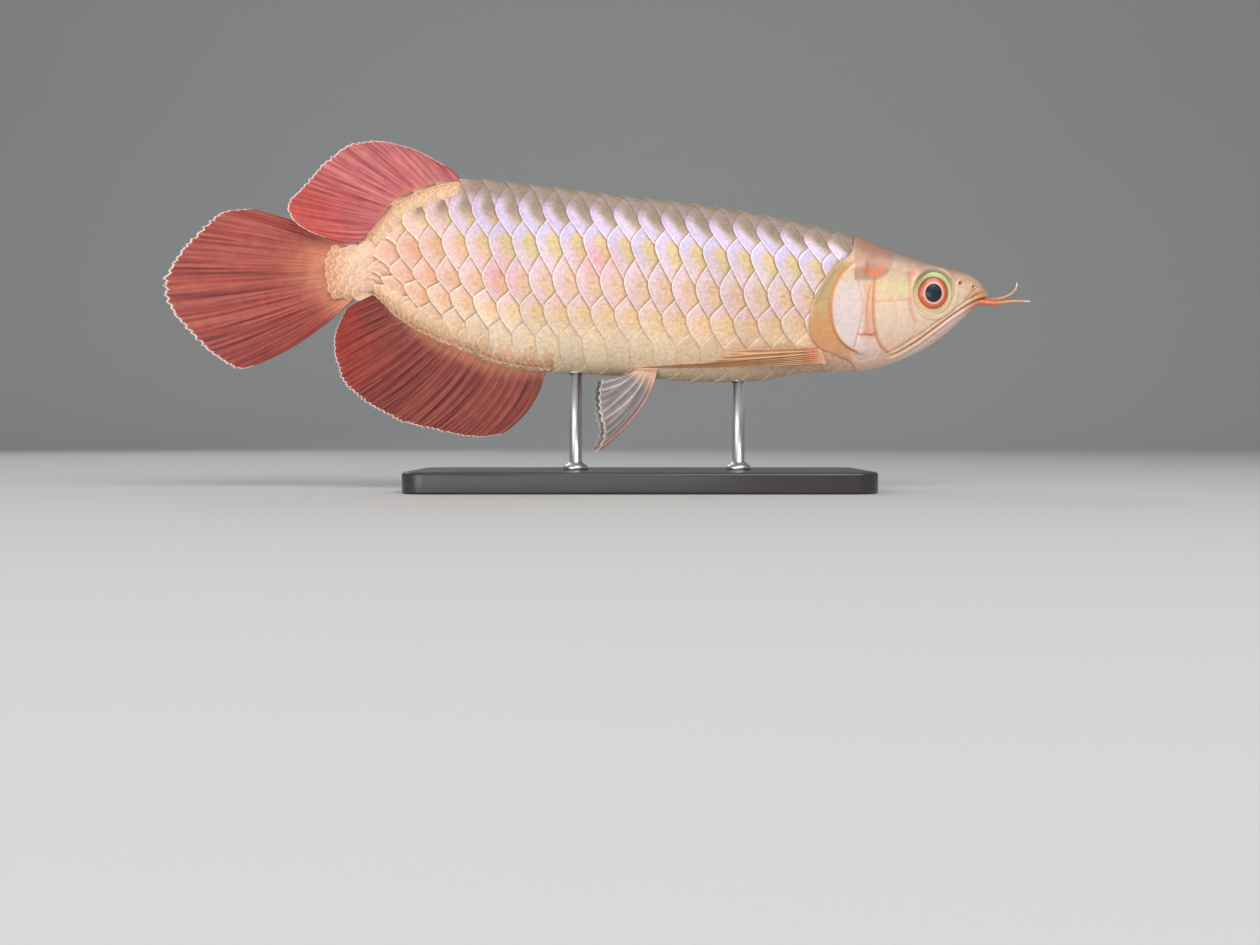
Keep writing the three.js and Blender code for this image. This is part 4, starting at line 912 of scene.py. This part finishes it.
def fin_membrane(name):
    material, tree = new_material(name)
    place = add_node(tree, "ShaderNodeTexCoord")
    along = add_node(tree, "ShaderNodeAttribute", attribute_name="along")
    ray = add_node(tree, "ShaderNodeAttribute", attribute_name="ray")
    colour = mottled_tone(tree, place, CLOUD_MM, 0.82, 1.14, detail=4.0, roughness=0.65)
    joints = add_node(tree, "ShaderNodeMath", {0: along.outputs["Fac"], 1: 2 * math.pi * JOINTS_IN_RAY},
                      operation="MULTIPLY")
    wave = add_node(tree, "ShaderNodeMath", {0: joints.outputs[0]}, operation="SINE")
    on_ray = add_node(tree, "ShaderNodeMath", {0: wave.outputs[0], 1: ray.outputs["Fac"]},
                      operation="MULTIPLY")
    grain = add_node(tree, "ShaderNodeTexNoise", {
        "Vector": place.outputs["Object"], "Scale": 1 / (FIN_GRAIN_MM * MM), "Detail": 2.0})
    height = add_node(tree, "ShaderNodeMath", {
        0: on_ray.outputs[0], 1: JOINT_HEIGHT, 2: grain.outputs["Fac"]}, operation="MULTIPLY_ADD")
    bump = add_node(tree, "ShaderNodeBump", {
        "Height": height.outputs[0], "Strength": 0.3, "Distance": 0.0002})
    shader = add_node(tree, "ShaderNodeBsdfPrincipled", {
        "Base Color": colour.outputs[2], "Roughness": 0.5, "IOR": 1.33, "Coat Weight": 0.12,
        "Coat Roughness": 0.25, "Subsurface Weight": 0.25, "Subsurface Radius": (0.003, 0.0012, 0.0008),
        "Subsurface Scale": 1.0, "Normal": bump.outputs[0]})
    finish_material(tree, shader)
    return material


red_membrane = fin_membrane("red_fin_membrane")
pale_membrane = fin_membrane("pale_fin_membrane")


def red_fin_colours(base, ray_hex, dark_hex, rear_hex, rear_from, flesh):
    """Uneven streaks along the rays, a rear part of its own colour, a fleshy root and a thin pale rim."""
    def colours(across, along, ray, phase):
        wide = np.sin(phase * 2.3 + 4 * np.sin(phase * 0.7) + 2.5 * along)
        fine = np.sin(phase * 7.3 + 2.2 * along) + np.sin(phase * 11.9 - 3.1 * along + 1)
        fine = (fine + np.sin(phase * 17.1 + 2)) * (0.6 + 0.4 * np.sin(9 * along + 3 * phase))
        reach = flesh * (1.15 + 0.3 * np.sin(5 * across) + 0.2 * fine)
        return painted(
            linear(base),
            (dark_hex, smooth(0.2, 2.6, fine + 1.3 * wide - ray) * smooth(0.05, 0.4, along) * 0.85),
            (ray_hex, smooth(0.0, 2.4, ray + 0.6 - fine - 0.8 * wide) * 0.7),
            (rear_hex, smooth(rear_from, rear_from + 0.25, across) * smooth(0.2, 0.8, along) * 0.6),
            ("#DA906C", smooth(reach * 1.7, reach * 0.2, along) * 0.9),
            ("#FBE6DC", smooth(0.984, 0.994, along) * 0.9))
    return colours


def on_middle(points):
    """Points of (x, z) on the fish's middle plane."""
    return [(x, 0, z) for x, z in points]


TAIL_FIN_X = -210.0
TAIL_ROOT = [(-115, 116.8), (-115.4, 106), (-115, 93.8)]
TAIL_MARGIN = [(-167, 136.8), (-181.2, 134.7), (-195.7, 122.4), (TAIL_FIN_X + 1.7, 107),
               (TAIL_FIN_X, 100.8), (-208.4, 92.5), (-198.9, 78.6), (-182.2, 64), (-172, 59),
               (-164.6, 60.2)]
build_fin("tail_fin", "caudal_fin", on_middle(TAIL_ROOT), on_middle(TAIL_MARGIN), 17,
          lambda a: (0 * a, 2 - 5.8 * a),
          lambda a, s: 5 * s * s * np.sin(2.6 * a + 0.4) + s * (1.2 - 4 * a),
          red_fin_colours("#953A33", "#B66152", "#531E1D", "#842E2A", 0.75, 0.2), red_membrane, seed=2,
          flesh=0.2)

DORSAL_ROOT = [(-62, 147.4), (-73, 145.8), (-85, 142), (-94, 137), (-100, 130.4), (-105, 124),
               (-108.6, 120.6)]
DORSAL_MARGIN = [(-72, 156.5), (-86, 164.2), (-103, 168.6), (-118, 166.6), (-129.5, 158), (-138.6, 147.4),
                 (-146.4, 137.6), (-144.6, 130.4), (-136.5, 124.6), (-129, 121.8)]
build_fin("dorsal_fin_skin", "dorsal_fin", on_middle(DORSAL_ROOT), on_middle(DORSAL_MARGIN), 20,
          lambda a: (0 * a, 1.5 - 3 * a),
          lambda a, s: 2.2 * s * np.sin(5 * a) - (1.6 + 1.8 * a) * s * s,
          red_fin_colours("#B55659", "#CF807E", "#823A40", "#BE3822", 0.55, 0.08), red_membrane, seed=3,
          per_ray=10, steps=60)

ANAL_ROOT = [(-23, 60.2), (-45.5, 63.6), (-57.7, 68.4), (-74, 74.4), (-85.3, 80.2), (-95.4, 87),
             (-104, 95.6)]
ANAL_MARGIN = [(-45, 27.2), (-58.1, 25.8), (-81.4, 30.3), (-96.6, 34.9), (-113.4, 45.2), (-121.6, 54),
               (-125.1, 67), (-124.6, 76), (-119.5, 87.5)]
build_fin("anal_fin_skin", "anal_fin", on_middle(ANAL_ROOT), on_middle(ANAL_MARGIN), 25,
          lambda a: (3.6 - 4 * a, -2.6 + 3 * a),
          lambda a, s: 2.4 * s * np.sin(4.2 * a + 0.6) - 1.2 * s,
          red_fin_colours("#7E322B", "#9C5244", "#431916", "#962A20", 0.5, 0.1), red_membrane, seed=4,
          per_ray=10, steps=60, fork_at=0.5)


def pelvic_colours(across, along, ray, phase):
    fine = np.sin(phase * 9.1 + 2 * along) + np.sin(phase * 15.7 - 2 * along)
    return painted(
        linear("#8A8280"),
        ("#5F5B5C", smooth(0.4, 1.8, fine + 0.8 - 1.4 * ray) * 0.6),
        ("#D2C9C5", smooth(0.2, 1.6, ray + 0.4 * fine) * 0.75),
        ("#D9857A", smooth(0.12, 0.01, across) * 0.8),
        ("#E8B79A", smooth(0.3, 0.0, along)),
        ("#F3ECE8", smooth(0.97, 0.99, along) * 0.8))


def pectoral_colours(across, along, ray, phase):
    return painted(
        linear("#DDA676"),
        ("#94623F", (1 - ray) * 0.75),
        ("#F0C294", ray * 0.7),
        ("#E9A184", smooth(0.14, 0.0, across) * 0.9),
        ("#DD8A68", smooth(0.2, 0.08, along) * 0.8),
        ("#EDB996", smooth(0.08, 0.0, along)))


PELVIC_ROOT = [(30.5, 7.5, 58.6), (26, 8, 58.4), (20.5, 8.5, 58)]
PELVIC_MARGIN = [(1.5, 13, 18.2), (5, 14.4, 27.4), (3, 15.6, 36), (2.4, 15.8, 45.4), (4.2, 14.6, 53.6)]
PECTORAL_ROOT = [(110.3, 12.2, 61.4), (108.7, 13.6, 64.7), (106.6, 14.6, 67.8)]
PECTORAL_MARGIN = [(18.4, 27.5, 58.2), (39.1, 28, 59.7), (55.4, 27.6, 60.9), (62.2, 26.6, 63.8),
                   (70.1, 24, 67.2)]
LEFT_FINS_SHIFT = -3.0


def paired(points, side, shift_x):
    """The right fin's points, or the left fin's, which sits a little further back."""
    return [(x + shift_x, y * side, z) for x, y, z in points]


for side_name, side, shift_x in (("right", -1, 0.0), ("left", 1, LEFT_FINS_SHIFT)):
    build_fin(f"pelvic_{side_name}", f"pelvic_fin_{side_name}",
              paired(PELVIC_ROOT, side, shift_x), paired(PELVIC_MARGIN, side, shift_x), 6,
              lambda a: (5 - 6 * a, -1 - a), lambda a, s: 0 * a, pelvic_colours, pale_membrane, seed=5,
              ray_mm=(1.5, 0.36), membrane_mm=(0.8, 0.22), ragged=0.02)
    build_fin(f"pectoral_{side_name}", f"pectoral_fin_{side_name}",
              paired(PECTORAL_ROOT, side, shift_x), paired(PECTORAL_MARGIN, side, shift_x), 8,
              lambda a: (0 * a, -0.6 * (1 - a)), lambda a, s: 0 * a, pectoral_colours, pale_membrane, seed=6,
              ray_mm=(2.0, 0.6), membrane_mm=(0.9, 0.25), fork_at=0.6, ragged=0.02)

# The eyes: round and lidless, each a dome in a pale ring
# From outside in: a ring of skin that is green above and cream below, a red-brown iris with a pale pink
# inner edge, and a dark round pupil. The clear cornea over them is the glossy coat of the material.

EYE_Y = 7.6
EYE_DEEP = 6.6
EYE_BACK_OUT = -0.3
IRIS_SHARE = 0.735
PUPIL_SHARE = 0.405
eye_nearer = CAMERA_AWAY / (CAMERA_AWAY - EYE_Y - EYE_DEEP)
eye_x = CAMERA_X + (EYE_X - CAMERA_X) / eye_nearer
eye_z = CAMERA_Z + (EYE_Z - CAMERA_Z) / eye_nearer


def eye_colours(share, turn):
    """Colours by the share of the ring's radius and the turn from its top."""
    up = np.cos(turn)
    edge = IRIS_SHARE - 0.03 * smooth(0, -1, up)
    iris = smooth(edge + 0.03, edge - 0.03, share)
    return painted(
        linear("#EDDCAE"),
        ("#A9CE7C", smooth(-0.2, 0.9, up + 0.25 * np.sin(turn)) * 0.85),
        ("#F0D5A4", smooth(0.1, -0.7, up) * 0.7),
        ("#8CAA5E", bell(share - 0.80, 0.035) * (0.25 + 0.4 * smooth(-0.2, 0.6, up))),
        ("#FBF1D4", bell(share - 0.91, 0.035) * 0.7),
        ("#6E6A50", smooth(0.965, 0.995, share) * 0.75),
        ("#C4553A", iris),
        ("#8A3122", iris * smooth(0.58, 0.74, share) * smooth(-0.9, 0.6, up) * 0.8),
        ("#D98062", iris * smooth(0.66, 0.5, share) * 0.7),
        ("#F6C8B4", bell(share - (PUPIL_SHARE + 0.045), 0.032)),
        ("#111A2C", smooth(PUPIL_SHARE + 0.012, PUPIL_SHARE - 0.012, share)))


# Wet eyeball: opaque colours, lightly mottled, under a clear smooth surface with small sharp highlights.
EYE_MOTTLE_MM = 0.6


def wet_eyeball():
    material, tree = new_material("wet_eyeball")
    place = add_node(tree, "ShaderNodeTexCoord")
    colour = mottled_tone(tree, place, EYE_MOTTLE_MM, 0.85, 1.15, detail=3.0)
    shader = add_node(tree, "ShaderNodeBsdfPrincipled", {
        "Base Color": colour.outputs[2], "Roughness": 0.38, "IOR": 1.4, "Coat Weight": 0.4,
        "Coat Roughness": 0.04})
    finish_material(tree, shader)
    return material


eyeball_finish = wet_eyeball()


def eye_dome(name, node, side):
    """A dome whose rim turns back into the head and closes there."""
    turns = np.linspace(0, 2 * math.pi, 97)[:-1]
    shares = np.concatenate([np.linspace(0, 1.0, 70), [1.04, 1.04]])
    share, turn = np.meshgrid(shares, turns, indexing="ij")
    out = np.sqrt(np.clip(1 - (np.clip(share, 0, 1) * 0.97) ** 2, 0, 1))
    out += 0.03 * bell(share - 0.9, 0.06) - 0.02 * bell(share - 0.76, 0.03)
    out -= 0.07 * smooth(PUPIL_SHARE + 0.02, PUPIL_SHARE - 0.03, share)
    out[-1] = EYE_BACK_OUT
    x = eye_x + EYE_RING[0] * share * np.sin(turn)
    z = eye_z + EYE_RING[1] * share * np.cos(turn)
    y = side * (EYE_Y + EYE_DEEP * out)
    points = np.stack([x, y, z], -1).reshape(-1, 3)
    index, quads = ring_faces(*share.shape)
    faces = [quads, fan(index[-1], len(points))]
    if side < 0:
        faces = [group[:, ::-1] for group in faces]
    points = np.vstack([points, [eye_x, side * (EYE_Y + EYE_BACK_OUT * EYE_DEEP), eye_z]])
    tone = np.vstack([eye_colours(share, turn).reshape(-1, 3), linear("#0D1220")])
    eye = make_piece(name, points, faces, eyeball_finish, paints={"tone": tone})
    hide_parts(node)


for side_name, side in (("right", -1), ("left", 1)):
    eye_dome(f"eyeball_{side_name}", f"eye_{side_name}", side)

# The barbels: two soft feelers on the tip of the lower jaw
# They are of bare orange skin with pale tips, and taper to a thread. Each is one round tube along its path,
# with its root in the jaw.

BARBEL_SIDES = 20
BARBEL_STEPS = 60
BARBEL_ROOT_RADIUS, BARBEL_TIP_RADIUS, BARBEL_END_RADIUS = 1.7, 0.35, 0.05
RIGHT_BARBEL = [(183, -2.6, 91.4), (188, -3.8, 90.6), (193, -4.8, 90.1), (201, -5.6, 91), (209.9, -5.2, 91)]
LEFT_BARBEL = [(183, 2.6, 91.8), (189, 4.4, 92.2), (196, 6, 93), (202.5, 7, 95), (205.9, 7.4, 97.9),
               (206.9, 7.6, 101.4)]
barbel_skin = wet_skin("barbel_skin", grain_mm=0.5, mottle=0.12, bump=0.2, roughness=0.38, coat=0.4)


def barbel(name, node, path):
    """A round tube along a path through points, thinner towards its tip."""
    centre = spline(path, BARBEL_STEPS)
    forward = np.gradient(centre, axis=0)
    forward /= np.linalg.norm(forward, axis=1, keepdims=True)
    sideways = np.cross([0, 0, 1], forward)
    sideways /= np.linalg.norm(sideways, axis=1, keepdims=True)
    upward = np.cross(forward, sideways)
    share = np.linspace(0, 1, BARBEL_STEPS)
    radius = BARBEL_ROOT_RADIUS * (1 - share) + BARBEL_TIP_RADIUS * share - 0.2 * np.sin(math.pi * share)
    radius[-1] = BARBEL_END_RADIUS
    turn = np.linspace(0, 2 * math.pi, BARBEL_SIDES + 1)[:-1]
    ring = sideways[:, None] * np.cos(turn)[None, :, None] + upward[:, None] * np.sin(turn)[None, :, None]
    points = (centre[:, None] + ring * radius[:, None, None]).reshape(-1, 3)
    index, quads = ring_faces(BARBEL_STEPS, BARBEL_SIDES)
    shares = np.repeat(share, BARBEL_SIDES)
    tone = painted(linear("#D9794F"), ("#E8A27E", smooth(0.3, 0.8, shares) * 0.8),
                   ("#EFD9C8", smooth(0.82, 0.97, shares)))
    faces = [quads, index[:1, ::-1], index[-1:]]
    piece = make_piece(name, points, faces, barbel_skin, paints={"tone": tone})
    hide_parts(node)


barbel("barbel_right_skin", "barbel_right", RIGHT_BARBEL)
barbel("barbel_left_skin", "barbel_left", LEFT_BARBEL)

# The stand: a lacquered wooden base with softened edges, and two steel rods with small collars
# The rods stand in the base and reach the belly. They are turned, and the base is a plate with round
# corners.

BASE_X, BASE_LENGTH, BASE_WIDTH, BASE_HEIGHT, BASE_CORNER = 22.0, 220.0, 90.0, 10.0, 12.0
EDGE_ROUND = 1.6
ROD_RADIUS = 3.0
ROD_PLACES = {"stand_rod_front": 70.0, "stand_rod_rear": -9.0}
ROD_IN_BASE, ROD_IN_BELLY = 0.5, 1.0
ROD_SIDES = 48


def turned_rod(name, profile, centre_x, material):
    """A turned piece from its profile of radius and height, upwards."""
    radius, height = np.array(profile, float).T
    turn = np.linspace(0, 2 * math.pi, ROD_SIDES + 1)[:-1]
    points = np.stack([centre_x + radius[:, None] * np.cos(turn), radius[:, None] * np.sin(turn),
                       np.repeat(height[:, None], ROD_SIDES, 1)], -1).reshape(-1, 3)
    index, quads = ring_faces(len(radius), ROD_SIDES)
    return make_piece(name, points, [quads, index[:1, ::-1], index[-1:]], material)


# Brushed steel: bright bare metal, brushed round the rod, so highlights are drawn out softly.
SCRATCH_MM, SCRATCHES_CLOSER = 3, 14


def brushed_steel():
    material, tree = new_material("brushed_steel")
    place = add_node(tree, "ShaderNodeTexCoord")
    stretched = add_node(tree, "ShaderNodeMapping", {
        "Vector": place.outputs["Object"], "Scale": (1, 1, SCRATCHES_CLOSER)})
    scratch = add_node(tree, "ShaderNodeTexNoise", {
        "Vector": stretched.outputs[0], "Scale": 1 / (SCRATCH_MM * MM), "Detail": 4.0})
    rough = add_node(tree, "ShaderNodeMapRange", {
        "Value": scratch.outputs["Fac"], "To Min": 0.2, "To Max": 0.42})
    bump = add_node(tree, "ShaderNodeBump", {
        "Height": scratch.outputs["Fac"], "Strength": 0.15, "Distance": 0.0001})
    shader = add_node(tree, "ShaderNodeBsdfPrincipled", {
        "Base Color": (*linear("#C9CACC"), 1), "Metallic": 1.0, "Roughness": rough.outputs[0],
        "Normal": bump.outputs[0]})
    finish_material(tree, shader)
    return material


# Black lacquer on fine-grained wood: dark, satin, with faint long grain under the finish.
WOOD_GRAIN_MM, WOOD_STRETCH = 1.5, 0.08


def black_lacquer():
    material, tree = new_material("black_lacquered_wood")
    place = add_node(tree, "ShaderNodeTexCoord")
    stretched = add_node(tree, "ShaderNodeMapping", {
        "Vector": place.outputs["Object"], "Scale": (WOOD_STRETCH, 1, 1)})
    grain = add_node(tree, "ShaderNodeTexNoise", {
        "Vector": stretched.outputs[0], "Scale": 1 / (WOOD_GRAIN_MM * MM), "Detail": 6.0, "Roughness": 0.65})
    colour = add_node(tree, "ShaderNodeMix", {
        "Factor": grain.outputs["Fac"], 6: (*linear("#201D1B"), 1), 7: (*linear("#3A3431"), 1)},
        data_type="RGBA")
    bump = add_node(tree, "ShaderNodeBump", {
        "Height": grain.outputs["Fac"], "Strength": 0.12, "Distance": 0.0002})
    shader = add_node(tree, "ShaderNodeBsdfPrincipled", {
        "Base Color": colour.outputs[2], "Roughness": 0.38, "IOR": 1.5, "Coat Weight": 0.3,
        "Coat Roughness": 0.15, "Normal": bump.outputs[0]})
    finish_material(tree, shader)
    return material


steel = brushed_steel()
for node, rod_x in ROD_PLACES.items():
    foot = BASE_HEIGHT - ROD_IN_BASE
    top = float(belly_at(rod_x)) + ROD_IN_BELLY
    foot_collar = [(6.0, foot), (6.0, foot + 2.0), (5.4, foot + 2.8), (4.2, foot + 3.4)]
    shaft = [(ROD_RADIUS, foot + 4.6), (ROD_RADIUS, top - 2.0)]
    cup = [(ROD_RADIUS + 1.2, top - 0.6), (ROD_RADIUS + 1.4, top)]
    rod = turned_rod(f"{node}_steel", foot_collar + shaft + cup, rod_x, steel)
    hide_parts(node)


def base_ring(inset, height):
    """The base's outline with round corners, drawn in by the inset."""
    half_length, half_width = BASE_LENGTH / 2 - inset, BASE_WIDTH / 2 - inset
    radius = BASE_CORNER - inset
    ring = []
    for sign_x, sign_y, start in ((1, -1, -90), (1, 1, 0), (-1, 1, 90), (-1, -1, 180)):
        for turn in np.radians(np.linspace(start, start + 90, 13)):
            ring.append((BASE_X + sign_x * (half_length - radius) + radius * math.cos(turn),
                         sign_y * (half_width - radius) + radius * math.sin(turn), height))
    return ring


round_edge = [(EDGE_ROUND * (1 - math.cos(a)), BASE_HEIGHT - EDGE_ROUND + EDGE_ROUND * math.sin(a))
              for a in np.radians(range(0, 91, 15))]
levels = [(EDGE_ROUND * 0.6, 0.0), (0.0, EDGE_ROUND * 0.6)] + round_edge
rings = np.array([base_ring(inset, height) for inset, height in levels])
index, quads = ring_faces(*rings.shape[:2])
base_faces = [quads, index[:1, ::-1], index[-1:]]
base = make_piece("base_plate", rings.reshape(-1, 3), base_faces, black_lacquer())
base.data.set_sharp_from_angle(angle=math.radians(35))
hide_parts("stand_base")

# The studio: a pale floor that curves up into the backdrop, and soft light from above and in front
# The floor is one wide sheet of matt paper. The lights are large, so that highlights on the wet skin are
# broad and soft. Sizes are metres.

FLOOR_HALF, FLOOR_FRONT, FLOOR_BACK, COVE_RADIUS, WALL_TOP = 2.6, -1.6, 1.4, 0.7, 2.4
cove = [(FLOOR_FRONT, 0.0)]
cove += [(FLOOR_BACK + COVE_RADIUS * math.sin(a), COVE_RADIUS * (1 - math.cos(a)))
         for a in np.linspace(0, math.pi / 2, 24)]
cove.append((FLOOR_BACK + COVE_RADIUS, WALL_TOP))
stage_points = [(side * FLOOR_HALF, y, z) for y, z in cove for side in (-1, 1)]
stage_faces = [(2 * k, 2 * k + 1, 2 * k + 3, 2 * k + 2) for k in range(len(cove) - 1)]
stage_mesh = bpy.data.meshes.new("studio_floor")
stage_mesh.from_pydata(stage_points, [], stage_faces)
stage_mesh.polygons.foreach_set("use_smooth", [True] * len(stage_faces))
floor = bpy.data.objects.new("studio_floor", stage_mesh)
bpy.context.collection.objects.link(floor)
paper, paper_tree = new_material("pale_studio_paper")
fibre = add_node(paper_tree, "ShaderNodeTexNoise", {"Scale": 400.0, "Detail": 3.0})
fibre_bump = add_node(paper_tree, "ShaderNodeBump", {
    "Height": fibre.outputs["Fac"], "Strength": 0.03, "Distance": 0.0005})
finish_material(paper_tree, add_node(paper_tree, "ShaderNodeBsdfPrincipled", {
    "Base Color": (*linear("#BEBEBC"), 1), "Roughness": 0.85, "Normal": fibre_bump.outputs[0]}))
stage_mesh.materials.append(paper)

FISH_MIDDLE = (0.0, 0.0, 0.1)


def soft_light(name, place, size, power):
    """A large lamp of plain white, turned to the fish."""
    lamp = bpy.data.lights.new(name, "AREA")
    lamp.shape = "RECTANGLE"
    lamp.size, lamp.size_y = size
    lamp.energy = power
    holder = bpy.data.objects.new(name, lamp)
    bpy.context.collection.objects.link(holder)
    holder.location = place
    x, y, z = np.array(FISH_MIDDLE) - np.array(place)
    away = math.hypot(x, y, z)
    holder.rotation_euler = (math.acos(-z / away), 0, math.atan2(y, x) - math.pi / 2)


soft_light("key", (0.35, -0.9, 0.95), (1.1, 0.7), 11.5)
soft_light("fill", (-0.9, -1.1, 0.35), (0.9, 0.9), 5.5)
soft_light("overhead", (0.0, 0.25, 1.3), (1.4, 0.8), 3.2)
soft_light("low_fill", (-0.35, -1.0, 0.06), (1.1, 0.35), 3.4)
soft_light("rim", (-0.6, 0.9, 0.8), (0.8, 0.6), 3.0)

world = bpy.data.worlds.new("soft_room")
bpy.context.scene.world = world
world.use_nodes = True
world.node_tree.nodes["Background"].inputs["Color"].default_value = (*linear("#DDE2E8"), 1)
world.node_tree.nodes["Background"].inputs["Strength"].default_value = 0.38

# The camera: in front of the fish's right side, just above the stand's base and tilted a little down
# It frames the fish as the photo does, from the place that the head's lines are measured from.

TILT_DOWN = 1.8
camera_data = bpy.data.cameras.new("camera")
camera_data.sensor_width = 36.0
camera_data.lens = 40.0
camera_data.clip_start = 0.01
camera = bpy.data.objects.new("camera", camera_data)
bpy.context.collection.objects.link(camera)
camera.location = (CAMERA_X * MM, -CAMERA_AWAY * MM, CAMERA_Z * MM)
camera.rotation_euler = (math.radians(90 - TILT_DOWN), 0, 0)
bpy.context.scene.camera = camera
bpy.context.scene.view_settings.view_transform = "Standard"
